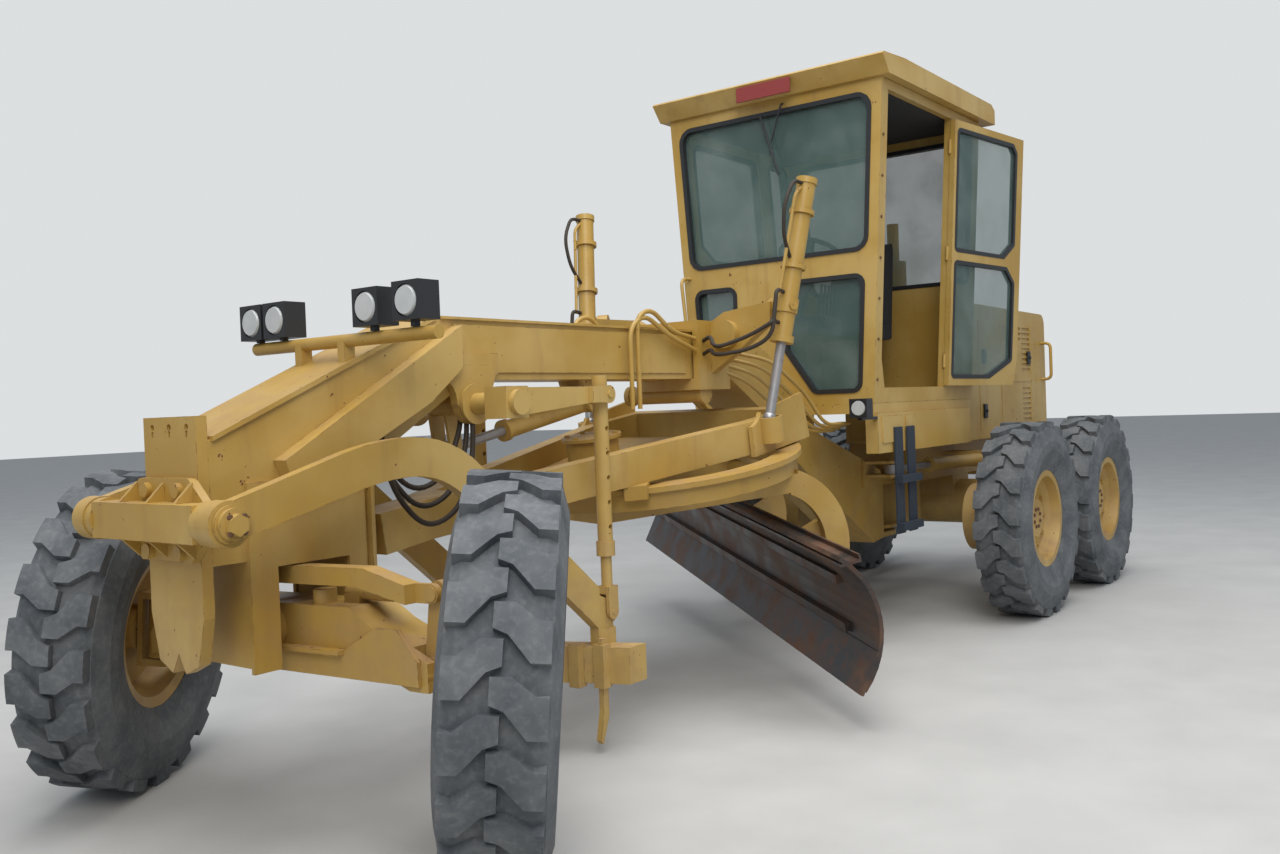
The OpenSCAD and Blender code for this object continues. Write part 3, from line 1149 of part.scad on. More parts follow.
lift_barrel(1);  // lift_barrel_left
lift_rod(1);  // lift_rod_left
lift_barrel(-1);  // lift_barrel_right
lift_rod(-1);  // lift_rod_right
scarifier();
rock_shaft();
scarifier_links();
scarifier_barrel();
scarifier_rod();
articulation_barrel(1);  // articulation_barrel_left
articulation_rod(1);  // articulation_rod_left
articulation_barrel(-1);  // articulation_barrel_right
articulation_rod(-1);  // articulation_rod_right
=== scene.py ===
"""Looks of the motor grader: camera, light, worn paint, dusty tyres, glass, hoses and small fittings.

Lengths are in metres in the part's frame: x ahead, y to the left, z up.
"""

import json
import math

import bmesh
import bpy
from mathutils import Matrix, Vector


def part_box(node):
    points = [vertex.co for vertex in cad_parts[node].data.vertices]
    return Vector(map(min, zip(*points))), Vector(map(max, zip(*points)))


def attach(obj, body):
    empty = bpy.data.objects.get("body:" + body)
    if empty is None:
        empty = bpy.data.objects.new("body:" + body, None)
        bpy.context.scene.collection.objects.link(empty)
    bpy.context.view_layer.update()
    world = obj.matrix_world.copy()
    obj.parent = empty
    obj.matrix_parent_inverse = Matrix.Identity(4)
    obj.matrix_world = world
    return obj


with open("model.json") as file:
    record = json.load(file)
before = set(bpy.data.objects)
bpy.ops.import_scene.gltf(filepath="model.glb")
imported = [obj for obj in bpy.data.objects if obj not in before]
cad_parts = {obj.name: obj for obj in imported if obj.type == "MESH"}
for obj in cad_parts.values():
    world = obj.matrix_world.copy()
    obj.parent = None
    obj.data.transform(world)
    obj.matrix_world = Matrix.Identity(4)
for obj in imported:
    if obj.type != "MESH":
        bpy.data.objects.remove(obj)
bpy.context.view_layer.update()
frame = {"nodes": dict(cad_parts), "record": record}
nodes = frame["nodes"]
joints = {joint["name"]: joint for joint in frame["record"]["behaviour"]["joints"]}

# Camera, from points measured on the photograph
CAMERA_AT = Vector((6.029, 3.581, 1.508))
CAMERA_YAW = math.radians(-142.88)
CAMERA_PITCH = math.radians(-0.997)
CAMERA_ROLL = math.radians(-2.162)
PHOTO_SIZE = (1280, 854)
FOCAL_PIXELS = 1131.7
SENSOR_MM = 36.0
CLIP_END = 200.0


class Socket:
    """One shader output with Python's operators on it."""

    def __init__(self, tree, socket):
        self.tree = tree
        self.socket = socket

    def math(self, operation, other, clamp=False):
        node = self.tree.nodes.new("ShaderNodeMath")
        node.operation = operation
        node.use_clamp = clamp
        plug(self.tree, self, node.inputs[0])
        plug(self.tree, other, node.inputs[1])
        return Socket(self.tree, node.outputs[0])

    def __add__(self, other):
        return self.math("ADD", other)

    __radd__ = __add__

    def __sub__(self, other):
        return self.math("SUBTRACT", other)

    def __rsub__(self, other):
        return (self * -1.0) + other

    def __mul__(self, other):
        return self.math("MULTIPLY", other)

    __rmul__ = __mul__

    def clamped(self):
        return self.math("ADD", 0.0, clamp=True)


def plug(tree, value, target):
    """Links a Socket to an input, or sets the input to a constant."""
    if isinstance(value, Socket):
        tree.links.new(value.socket, target)
    else:
        target.default_value = value


class Shader:
    """A material's node tree, with the nodes that these materials use."""

    def __init__(self, name):
        self.material = bpy.data.materials.new(name)
        self.material.use_nodes = True
        self.tree = self.material.node_tree
        self.surface = self.tree.nodes["Principled BSDF"]
        self.place = self.new("ShaderNodeTexCoord", output="Object")

    def new(self, kind, inputs=None, output=0, **settings):
        node = self.tree.nodes.new(kind)
        for key, value in settings.items():
            setattr(node, key, value)
        for key, value in (inputs or {}).items():
            plug(self.tree, value, node.inputs[key])
        return Socket(self.tree, node.outputs[output])

    def noise(self, scale, detail=4.0, rough=0.55, at=None):
        return self.new(
            "ShaderNodeTexNoise",
            {"Vector": at or self.place, "Scale": scale, "Detail": detail, "Roughness": rough},
            output="Fac",
        )

    def stretched(self, scale):
        """The object's coordinates scaled along each axis: a small scale draws the pattern out."""
        return self.new("ShaderNodeMapping", {"Vector": self.place, "Scale": scale}, output="Vector")

    def step(self, value, low, high):
        """0 below low and 1 above high, smooth between."""
        return self.new(
            "ShaderNodeMapRange",
            {"Value": value, "From Min": low, "From Max": high},
            output="Result",
            interpolation_type="SMOOTHSTEP",
        )

    def mix(self, factor, first, second):
        # Sockets 6, 7 and 2 are the colour ones of this node
        return self.new("ShaderNodeMix", {0: factor, 6: first, 7: second}, output=2, data_type="RGBA")

    def axis(self, name):
        return self.new("ShaderNodeSeparateXYZ", {0: self.place}, output=name)

    def facing_up(self):
        normal = self.new("ShaderNodeNewGeometry", output="Normal")
        return self.new("ShaderNodeSeparateXYZ", {0: normal}, output="Z")

    def edges(self, radius):
        """How far the bevelled normal leaves the true one: bright along edges."""
        bevel = self.new("ShaderNodeBevel", {"Radius": radius}, output="Normal", samples=4)
        normal = self.new("ShaderNodeNewGeometry", output="Normal")
        inputs = {0: bevel, 1: normal}
        return 1.0 - self.new("ShaderNodeVectorMath", inputs, output="Value", operation="DOT_PRODUCT")

    def bump(self, height, strength, distance):
        inputs = {"Height": height, "Strength": strength, "Distance": distance}
        return self.new("ShaderNodeBump", inputs, output="Normal")

    def set(self, **inputs):
        """Sets the surface's inputs, named with _ for a space, and returns the material."""
        for key, value in inputs.items():
            plug(self.tree, value, self.surface.inputs[key.replace("_", " ")])
        return self.material


def rgb(red, green, blue):
    return (red, green, blue, 1.0)


YELLOW = rgb(0.45, 0.275, 0.055)
YELLOW_FADED = rgb(0.54, 0.365, 0.115)
DUST = rgb(0.33, 0.20, 0.115)
STREAKS = rgb(0.30, 0.165, 0.05)
RUST = rgb(0.14, 0.045, 0.018)
SOIL = rgb(0.17, 0.085, 0.045)
RUBBER = rgb(0.070, 0.079, 0.088)
RUBBER_DUSTY = rgb(0.205, 0.21, 0.215)
BLADE = rgb(0.045, 0.043, 0.043)
PANE = rgb(0.10, 0.17, 0.155)
PANE_DUSTY = rgb(0.20, 0.27, 0.25)
FLOOR = rgb(0.56, 0.55, 0.53)
SKY_LIGHT = rgb(0.78, 0.86, 0.95)
BACKDROP = rgb(0.72, 0.74, 0.75)


def paint(name):
    """Worn yellow paint: faded patches, dust on what faces up or is low, rust along edges."""
    s = Shader(name)
    patches = s.step(s.noise(1.6, detail=5.0), 0.38, 0.66)
    colour = s.mix(patches, YELLOW, YELLOW_FADED)
    tall = s.stretched((1.0, 1.0, 0.12))
    streaks = s.step(s.noise(9.0, detail=5.0, at=tall), 0.52, 0.72)
    colour = s.mix(streaks * 0.3, colour, STREAKS)
    low = 1.0 - s.step(s.axis("Z"), 0.3, 1.6)
    up = s.step(s.facing_up(), 0.35, 0.95)
    dust = ((low * 0.55 + up * 0.45) * s.step(s.noise(7.0, detail=6.0), 0.3, 0.75)).clamped()
    colour = s.mix(dust, colour, DUST)
    wear = s.step(s.edges(0.006), 0.03, 0.22) * s.step(s.noise(19.0, detail=6.0), 0.5, 0.62)
    spots = s.step(s.noise(34.0, detail=3.0), 0.70, 0.75)
    worn = (wear + spots).clamped()
    colour = s.mix(worn, colour, RUST)
    grain = s.noise(260.0, detail=2.0)
    return s.set(
        Base_Color=colour,
        Roughness=0.40 + dust * 0.35 + worn * 0.3,
        Normal=s.bump(grain + worn * -0.5, strength=0.12, distance=0.002),
    )


def steel(name, base, soil, metallic=0.75):
    """Bare steel with soil caked on it and scratches from the ground."""
    s = Shader(name)
    marks = s.step(s.noise(5.0, detail=7.0, rough=0.6), 0.35, 0.7)
    colour = s.mix(marks * soil, base, SOIL)
    rusty = s.step(s.noise(13.0, detail=6.0), 0.52, 0.68) * soil
    colour = s.mix(rusty * 0.7, colour, RUST)
    level = s.stretched((0.2, 0.2, 6.0))
    scratches = s.noise(40.0, rough=0.6, at=level)
    return s.set(
        Base_Color=colour,
        Metallic=metallic - marks * soil * metallic,
        Roughness=0.34 + marks * 0.35,
        Normal=s.bump(scratches, strength=0.15, distance=0.002),
    )


def rubber(name):
    """Grey weathered rubber with patches of dust."""
    s = Shader(name)
    dust = s.step(s.noise(6.0, detail=6.0), 0.3, 0.7)
    fine = s.step(s.noise(45.0, detail=5.0), 0.45, 0.7)
    colour = s.mix((dust * 0.55 + fine * 0.25).clamped(), RUBBER, RUBBER_DUSTY)
    return s.set(
        Base_Color=colour,
        Roughness=0.74 + dust * 0.15,
        Normal=s.bump(s.noise(90.0), strength=0.25, distance=0.003),
    )


def plain(name, base, roughness, scale=60.0):
    """One colour whose tone and roughness vary a little."""
    s = Shader(name)
    tone = s.noise(scale)
    darker = rgb(*(part * 0.75 for part in base[:3]))
    return s.set(
        Base_Color=s.mix(tone, darker, base),
        Roughness=roughness + (tone - 0.5) * 0.2,
        Normal=s.bump(tone, strength=0.1, distance=0.001),
    )


def glass(name):
    """Green tinted pane with a film of dust."""
    s = Shader(name)
    haze = s.step(s.noise(3.0, detail=6.0), 0.35, 0.8)
    return s.set(
        Base_Color=s.mix(haze, PANE, PANE_DUSTY),
        Roughness=0.05 + haze * 0.12,
        Alpha=0.46 + haze * 0.14,
    )


MATERIALS = {
    "body_paint": paint("Worn yellow paint"),
    "bare_steel": steel("Polished rod steel", rgb(0.42, 0.42, 0.43), 0.3),
    "black_parts": plain("Black plastic", rgb(0.026, 0.027, 0.03), 0.42),
    "tyre_rubber": rubber("Tyre rubber"),
    "cab_window": glass("Tinted glass"),
    "engine_iron": plain("Dark casting", rgb(0.05, 0.05, 0.05), 0.7),
    "strap_rubber": plain("Strap rubber", rgb(0.028, 0.038, 0.055), 0.6),
    "seat_fabric": plain("Woven cover", rgb(0.035, 0.036, 0.04), 0.85, 300.0),
}
BLADE_STEEL = steel("Worn blade steel", BLADE, 0.75, 0.45)
LAMP_GLASS = plain("Lamp lens", rgb(0.62, 0.64, 0.64), 0.12, 20.0)
HOSE_RUBBER = plain("Hose rubber", rgb(0.045, 0.032, 0.022), 0.7)
PLATE_RED = plain("Blank red plate", rgb(0.30, 0.045, 0.04), 0.5)
RUSTY_STEEL = steel("Rusty fastener", rgb(0.20, 0.12, 0.07), 0.9, 0.4)

for part in frame["record"]["subparts"]:
    part_materials = nodes[part["node"]].data.materials
    part_materials.clear()
    part_materials.append(BLADE_STEEL if part["node"] == "moldboard" else MATERIALS[part["material_slot"]])


def add_object(name, data):
    thing = bpy.data.objects.new(name, data)
    bpy.context.scene.collection.objects.link(thing)
    return thing


def mount(piece, body, slot):
    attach(piece, body)


def add_piece(name, body, slot, shape, material=None):
    """Turns a bmesh into a piece that rides on a body."""
    bmesh.ops.recalc_face_normals(shape, faces=shape.faces)
    mesh = bpy.data.meshes.new(name)
    shape.to_mesh(mesh)
    shape.free()
    mesh.materials.append(material or MATERIALS[slot])
    mount(add_object(name, mesh), body, slot)


def add_block(shape, corner, opposite, bevel=0.002):
    """A block with eased edges between two opposite corners."""
    low = Vector([min(pair) for pair in zip(corner, opposite)])
    high = Vector([max(pair) for pair in zip(corner, opposite)])
    place = Matrix.Translation((low + high) / 2) @ Matrix.Diagonal((*(high - low), 1.0))
    made = bmesh.ops.create_cube(shape, size=1.0, matrix=place)
    edges = dict.fromkeys(edge for vertex in made["verts"] for edge in vertex.link_edges)
    bmesh.ops.bevel(
        shape,
        geom=list(edges),
        offset=bevel,
        offset_type="OFFSET",
        segments=2,
        profile=0.5,
        affect="EDGES",
        material=-1,
    )


def add_rod(shape, start, end, radius, sides=20, end_radius=None):
    """A closed cylinder or cone between two points."""
    start = Vector(start)
    along = Vector(end) - start
    turn = along.to_track_quat("Z", "Y").to_matrix().to_4x4()
    bmesh.ops.create_cone(
        shape,
        cap_ends=True,
        segments=sides,
        radius1=radius,
        radius2=radius if end_radius is None else end_radius,
        depth=along.length,
        matrix=Matrix.Translation(start + along / 2) @ turn,
    )


def add_ring(shape, at, axis, inner, outer, width, steps=32):
    """A flat band round an axis."""
    across = axis.orthogonal().normalized()
    half = width / 2
    section = ((inner, -half), (outer, -half), (outer, half), (inner, half))
    corners = [shape.verts.new(at + across * radius + axis * along) for radius, along in section]
    edges = [shape.edges.new((corners[index - 1], corners[index])) for index in range(4)]
    bmesh.ops.spin(
        shape,
        geom=corners + edges,
        cent=at,
        axis=axis,
        angle=math.tau,
        steps=steps,
        use_merge=True,
    )


WASHER_SUNK = 0.004
WASHER_PROUD = 0.003
# A washer's radius and a head's height, as shares of the head's radius
WASHER_SHARE = 1.35
HEAD_SHARE = 0.9


def add_bolt(shape, at, normal, radius):
    """A washer and a hexagon head."""
    at = Vector(at)
    normal = Vector(normal).normalized()
    washer_start = at - normal * WASHER_SUNK
    washer_end = at + normal * WASHER_PROUD
    add_rod(shape, washer_start, washer_end, radius * WASHER_SHARE)
    add_rod(shape, at, at + normal * radius * HEAD_SHARE, radius, sides=6)


def bolt_circle(shape, centre, first, second, circle_radius, count, normal, bolt_radius):
    """Bolts round a centre, on a circle in the plane of two unit vectors."""
    for index in range(count):
        angle = math.tau * (index + 0.5) / count
        away = first * math.cos(angle) + second * math.sin(angle)
        add_bolt(shape, centre + away * circle_radius, normal, bolt_radius)


# A corner's curve takes at most this share of the shorter side next to it
CORNER_SHARE = 0.49


def rounded_path(points, radius, steps=6):
    """The points' polyline with a curve that starts and ends this far from each corner."""
    points = [Vector(point) for point in points]
    path = [points[0]]
    for before, corner, after in zip(points, points[1:], points[2:]):
        back = before - corner
        ahead = after - corner
        reach = min(radius, back.length * CORNER_SHARE, ahead.length * CORNER_SHARE)
        first = corner + back.normalized() * reach
        last = corner + ahead.normalized() * reach
        for step in range(steps + 1):
            t = step / steps
            path.append(first * (1 - t) ** 2 + corner * 2 * t * (1 - t) + last * t**2)
    path.append(points[-1])
    return path


def path_length(path):
    return sum((after - before).length for before, after in zip(path, path[1:]))


def tube(name, body, slot, points, radius, bend=0.05, material=None):
    """A bent pipe, rail or hose; returns the piece and its length."""
    path = rounded_path(points, bend)
    curve = bpy.data.curves.new(name, "CURVE")
    curve.dimensions = "3D"
    curve.bevel_depth = radius
    curve.bevel_resolution = 3
    curve.use_fill_caps = True
    spline = curve.splines.new("POLY")
    spline.points.add(len(path) - 1)
    for knot, place in zip(spline.points, path):
        knot.co = (*place, 1.0)
    spline.use_smooth = True
    curve.materials.append(material or MATERIALS[slot])
    piece = add_object(name, curve)
    mount(piece, body, slot)
    return piece, path_length(path)


HOSE_BEND = 0.2


def hose(name, body, points, radius):
    """A rubber hose along the given points, riding on one body."""
    piece, length = tube(name, body, "black_parts", points, radius, HOSE_BEND, HOSE_RUBBER)
    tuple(points[0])


# How near counts as the same point, the same level and the same direction
SAME_POINT = 0.0002
SAME_LEVEL = 0.001
SAME_WAY = 0.999


def take_island(left):
    """Takes one face and all that hang together with it out of a dict of faces."""
    first, _ = left.popitem()
    island = [first]
    for face in island:
        for edge in face.edges:
            for other in edge.link_faces:
                if other in left:
                    del left[other]
                    island.append(other)
    return island


def outlines_of(faces):
    """The closed outlines round a group of faces, each a list of points."""
    follows = {}
    for face in faces:
        for loop in face.loops:
            if sum(other in faces for other in loop.edge.link_faces) == 1:
                follows[loop.vert] = loop.link_loop_next.vert
    outlines = []
    while follows:
        here = next(iter(follows))
        outline = []
        while here in follows:
            outline.append(here.co.copy())
            here = follows.pop(here)
        outlines.append(outline)
    return outlines


def pane_outlines(node):
    """Each pane's outer outline, the normal of the face it lies on and the pane's thickness."""
    source = bmesh.new()
    source.from_mesh(nodes[node].data)
    bmesh.ops.remove_doubles(source, verts=source.verts, dist=SAME_POINT)
    left = dict.fromkeys(source.faces)
    while left:
        island = take_island(left)
        largest = max(island, key=lambda face: face.calc_area())
        normal = largest.normal.copy()
        level = normal.dot(largest.verts[0].co)
        flat = [
            face
            for face in island
            if face.normal.dot(normal) > SAME_WAY and abs(normal.dot(face.verts[0].co) - level) < SAME_LEVEL
        ]
        depths = [normal.dot(vertex.co) for face in island for vertex in face.verts]
        yield max(outlines_of(flat), key=path_length), normal, max(depths) - min(depths)
    source.free()


# Each side's name and the sign of its y
SIDES = (("left", 1), ("right", -1))

GASKET_LIP = 0.013
GASKET_LAP = 0.014
GASKET_PROUD = 0.007
# Least share that keeps a sharp corner of a gasket from growing long
GASKET_CORNER = 0.5


def add_gasket(shape, outline, normal, thickness, depth_ahead, depth_behind):
    """A rubber frame round a pane: it fills the recess on both sides and laps over the panel."""
    top = normal * (depth_ahead + GASKET_PROUD)
    bottom = -normal * (thickness + depth_behind + GASKET_PROUD)
    rings = []
    for before, corner, after in zip(outline[-1:] + outline[:-1], outline, outline[1:] + outline[:1]):
        arriving = (corner - before).normalized()
        leaving = (after - corner).normalized()
        inward = normal.cross(arriving + leaving).normalized()
        reach = 1.0 / max(GASKET_CORNER, inward.dot(normal.cross(leaving)))
        inner = corner + inward * GASKET_LIP * reach
        outer = corner - inward * GASKET_LAP * reach
        section = (inner + top, outer + top, outer + bottom, inner + bottom)
        rings.append([shape.verts.new(point) for point in section])
    for ring, following in zip(rings, rings[1:] + rings[:1]):
        for side in range(4):
            shape.faces.new((ring[side], following[side], following[side - 1], ring[side - 1]))


CAB_MIDDLE = Vector((-0.945, 0.0, 2.4))
# A pane of the front wall lies ahead of this x, and its normal's share along x is more than this
FRONT_PANE_X = -0.4
FRONT_PANE_NORMAL = 0.9
# How deep a pane lies in its panel, outside and inside
FRONT_RECESS = (0.029, 0.010)
WALL_RECESS = (0.020, 0.019)
DOOR_RECESS = (0.010, 0.010)


def window_gaskets():
    shape = bmesh.new()
    for outline, normal, thickness in pane_outlines("cab_glass"):
        in_front = outline[0].x > FRONT_PANE_X and abs(normal.x) > FRONT_PANE_NORMAL
        outside, inside = FRONT_RECESS if in_front else WALL_RECESS
        if normal.dot(outline[0] - CAB_MIDDLE) > 0:
            add_gasket(shape, outline, normal, thickness, outside, inside)
        else:
            add_gasket(shape, outline, normal, thickness, inside, outside)
    add_piece("cab_gaskets", "front_unit", "black_parts", shape)
    for side, _ in SIDES:
        shape = bmesh.new()
        for outline, normal, thickness in pane_outlines(f"door_{side}_glass"):
            add_gasket(shape, outline, normal, thickness, *DOOR_RECESS)
        add_piece(f"door_{side}_gaskets", f"door_{side}", "black_parts", shape)


LAMP_X = 3.330
LAMP_PLACES = ((-0.405, 1.905), (-0.250, 1.905), (0.300, 1.912), (0.520, 1.918))
SIDE_LAMP = (0.076, 0.652, 1.455)
LENS_SUNK = 0.01
LENS_SIDES = 40
# A lens's radius at the lamp and at its face, and how far it stands out
LENS = (0.0575, 0.04945, 0.004)
SIDE_LENS = (0.045, 0.040, 0.002)


def add_lens(shape, x, y, z, radius, face_radius, proud):
    add_rod(shape, (x - LENS_SUNK, y, z), (x + proud, y, z), radius, LENS_SIDES, face_radius)


def lamp_lenses():
    shape = bmesh.new()
    for y, z in LAMP_PLACES:
        add_lens(shape, LAMP_X, y, z, *LENS)
    add_lens(shape, *SIDE_LAMP, *SIDE_LENS)
    add_piece("lamp_lenses", "front_unit", "black_parts", shape, LAMP_GLASS)


HOSE_R = 0.011
LIFT_PIPE_R = 0.009
LIFT_PIPE_BEND = 0.03
LIFT_PIPE_OUT = 0.095
# The pipe's lower points: away from the axis, up from the trunnion
LIFT_PIPE_LOW = ((0.098, 0.05), (LIFT_PIPE_OUT, 0.11))
# Its upper points, and those of the loop of hose: away from the axis, down from the top
LIFT_PIPE_HIGH = ((LIFT_PIPE_OUT, 0.12), (0.045, 0.07))
LIFT_LOOP = ((0.05, 0.05), (0.13, 0.06), (0.19, 0.20), (0.14, 0.36), (0.05, 0.44))
# Where the clamps sit, as shares of the barrel's length above the trunnion
LIFT_CLAMPS = (0.3, 0.72)
LIFT_CLAMP_INNER = 0.054
LIFT_CLAMP_OUTER = 0.0655
LIFT_CLAMP_WIDTH = 0.024
LIFT_CLAMP_BOLT_R = 0.008
LIFT_LOOP_R = 0.010
# The hoses start beside the frame: ahead of the trunnion, y and z of the lower one
LIFT_HOSE_START = (0.10, 0.21, 1.78)
# Letter, height above the lower one, and where it meets the barrel, up from the trunnion
LIFT_HOSES = (("a", 0.0, 0.06), ("b", 0.07, -0.10))


def lift_cylinder_pipes(side, sign):
    """Steel pipe and clamps along a lift barrel, with the hoses that reach it at the trunnion."""
    body = f"lift_barrel_{side}"
    pivot = Vector(joints[f"{body}_turn"]["pos_m"])
    up = -Vector(joints[f"lift_rod_{side}_stroke"]["axis"])
    top = Vector(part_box(body)[1])
    run = (top.z - pivot.z) / up.z
    ahead = Vector((1.0, 0.0, 0.0))
    out = (ahead - up * ahead.dot(up)).normalized()

    def place(outward, upward):
        return pivot + out * outward + up * upward

    pipe = [place(outward, upward) for outward, upward in LIFT_PIPE_LOW]
    pipe += [place(outward, run - downward) for outward, downward in LIFT_PIPE_HIGH]
    tube(f"{body}_pipe", body, "body_paint", pipe, LIFT_PIPE_R, LIFT_PIPE_BEND)
    shape = bmesh.new()
    for share in LIFT_CLAMPS:
        height = run * share
        add_ring(shape, place(0.0, height), up, LIFT_CLAMP_INNER, LIFT_CLAMP_OUTER, LIFT_CLAMP_WIDTH)
        add_bolt(shape, place(LIFT_PIPE_OUT, height), out, LIFT_CLAMP_BOLT_R)
    add_piece(f"{body}_clamps", body, "body_paint", shape)
    loop = [place(outward, run - downward) for outward, downward in LIFT_LOOP]
    hose(f"lift_loop_{side}", body, loop, LIFT_LOOP_R)
    start_x, start_y, start_z = LIFT_HOSE_START
    start = Vector((pivot.x + start_x, sign * start_y, start_z))
    for letter, lift, port in LIFT_HOSES:
        route = [
            start + Vector((0.0, 0.0, lift)),
            start + Vector((0.05, sign * 0.08, lift + 0.02)),
            start + Vector((0.14, sign * 0.16, lift * 0.5 - 0.02)),
            Vector((pivot.x + 0.18, pivot.y - sign * 0.12, pivot.z - 0.22 + lift)),
            Vector((pivot.x + 0.16, pivot.y, pivot.z - 0.16 + lift)),
            place(0.13, port),
            place(0.06, port),
        ]
        hose(f"lift_hose_{side}_{letter}", "front_unit", route, HOSE_R)


# Routes on the left side: each point, and how it moves as the pipes of a bundle step apart
SADDLE_PIPES = (
    ((1.62, 0.205, 1.50), (-1.0, 0.0, 0.0)),
    ((1.62, 0.205, 1.90), (-1.0, 0.0, 1.0)),
    ((1.50, 0.205, 1.97), (-1.0, 0.0, 0.5)),
    ((1.28, 0.215, 1.86), (0.0, 0.0, 0.5)),
    ((1.06, 0.205, 1.80), (0.0, 0.0, 1.0)),
)
CAB_PIPES = (
    ((0.80, 0.19, 1.69), (-1.0, 0.0, 1.0)),
    ((0.62, 0.24, 1.64), (-1.0, 1.0, 1.0)),
    ((0.26, 0.26, 1.44), (-1.0, 1.0, 1.0)),
    ((0.02, 0.30, 1.32), (0.0, 1.0, 0.4)),
    ((-0.30, 0.30, 1.32), (0.0, 1.0, 0.4)),
)


def pipe_bundle(name, side, sign, route, count, spacing, radius, bend):
    """Painted pipes side by side on the front unit."""
    for index in range(count):
        shift = spacing * index
        points = [
            (x + step_x * shift, sign * (y + step_y * shift), z + step_z * shift)
            for (x, y, z), (step_x, step_y, step_z) in route
        ]
        tube(f"{name}_{side}_{index}", "front_unit", "body_paint", points, radius, bend)


def frame_pipes():
    """Painted pipes that rise past the gooseneck to the saddle, and those that run back under the cab."""
    for side, sign in SIDES:
        pipe_bundle("saddle_pipe", side, sign, SADDLE_PIPES, count=2, spacing=0.06, radius=0.012, bend=0.09)
        pipe_bundle("cab_pipe", side, sign, CAB_PIPES, count=4, spacing=0.035, radius=0.011, bend=0.10)


# The first hose's y, the step to the next, and how low each one hangs
SCARIFIER_HOSE_Y = 0.12
SCARIFIER_HOSE_STEP = 0.035
SCARIFIER_HOSE_LOWS = (1.20, 1.13, 1.06)


def scarifier_hoses():
    """Three hoses that hang in loops inside the front arch."""
    for index, low_z in enumerate(SCARIFIER_HOSE_LOWS):
        y = SCARIFIER_HOSE_Y + SCARIFIER_HOSE_STEP * index
        route = [
            (3.20, y, 1.52),
            (3.16, y + 0.02, low_z + 0.16),
            (3.02, y + 0.05, low_z),
            (2.84, y + 0.05, low_z + 0.06),
            (2.72, y + 0.02, low_z + 0.26),
            (2.70, y, 1.55),
        ]
        hose(f"scarifier_hose_{'abc'[index]}", "front_unit", route, HOSE_R)


# Seam strips on the hood's sides: from and to in y, the upright ones and the long one
SEAM_Y = (0.447, 0.4535)
SEAM_XS = (-2.42, -2.9, -3.62)
SEAM_HALF = 0.012
SEAM_Z = (1.23, 2.08)
LONG_SEAM_X = (-3.62, -1.98)
LONG_SEAM_Z = (1.60, 1.622)
# Latches: from and to in y, half their width and height, and their places
LATCH_Y = (0.449, 0.468)
LATCH_HALF = (0.03, 0.055)
LATCH_PLACES = ((-2.5, 1.80), (-2.5, 1.38), (-3.54, 1.80))
LATCH_BEVEL = 0.006
LATCH_BOLT_Y = 0.467
LATCH_BOLT_R = 0.012
# Handles on the left side, and their tube's radius
REAR_HANDLE = ((-3.90, 0.43, 1.62), (-3.90, 0.53, 1.62), (-3.90, 0.53, 1.93), (-3.90, 0.43, 1.93))
TOP_HANDLE = ((-2.05, 0.38, 2.15), (-2.05, 0.38, 2.285), (-2.35, 0.38, 2.285), (-2.35, 0.38, 2.15))
HANDLE_R = 0.013


def hood_fittings():
    """Seam strips, latches and handles of the hood."""
    seams = bmesh.new()
    latches = bmesh.new()
    half_x, half_z = LATCH_HALF
    for _, sign in SIDES:
        inner, outer = (sign * y for y in SEAM_Y)
        for x in SEAM_XS:
            add_block(seams, (x - SEAM_HALF, inner, SEAM_Z[0]), (x + SEAM_HALF, outer, SEAM_Z[1]))
        add_block(seams, (LONG_SEAM_X[0], inner, LONG_SEAM_Z[0]), (LONG_SEAM_X[1], outer, LONG_SEAM_Z[1]))
        inner, outer = (sign * y for y in LATCH_Y)
        for x, z in LATCH_PLACES:
            add_block(latches, (x - half_x, inner, z - half_z), (x + half_x, outer, z + half_z), LATCH_BEVEL)
            add_bolt(latches, (x, sign * LATCH_BOLT_Y, z), (0, sign, 0), LATCH_BOLT_R)
    add_piece("hood_seams", "rear_unit", "body_paint", seams)
    add_piece("hood_latches", "rear_unit", "black_parts", latches)
    for side, sign in SIDES:
        for name, handle in (("rear", REAR_HANDLE), ("top", TOP_HANDLE)):
            points = [(x, sign * y, z) for x, y, z in handle]
            tube(f"hood_{name}_handle_{side}", "rear_unit", "body_paint", points, HANDLE_R)


# The cab's side walls lean out: height and half width at the sill and at the eaves
CAB_SILL = (1.48, 0.64)
CAB_EAVES = (3.39, 0.76)
CAB_LEAN = (CAB_EAVES[1] - CAB_SILL[1]) / (CAB_EAVES[0] - CAB_SILL[0])
PILLAR_X = -0.200
PILLAR_BOLT_ZS = (1.62, 1.86, 2.10, 2.34, 2.58, 2.82, 3.06)
PILLAR_BOLT_R = 0.007
PILLAR_BOLT_PROUD = 0.001
# Name, slot, material, two opposite corners and bevel
CAB_BLOCKS = (
    ("blank_plate", "body_paint", PLATE_RED, (-0.062, -0.17, 3.385), (-0.050, 0.21, 3.475), 0.002),
    # A dark sheet under the yellow roof inside the cab: painted shade, not a real lining
    ("ceiling_shade_sheet", "seat_fabric", None, (-1.66, -0.69, 3.335), (-0.22, 0.69, 3.388), 0.01),
    ("inside_mirror", "black_parts", None, (-0.345, -0.10, 3.00), (-0.325, 0.20, 3.13), 0.008),
)
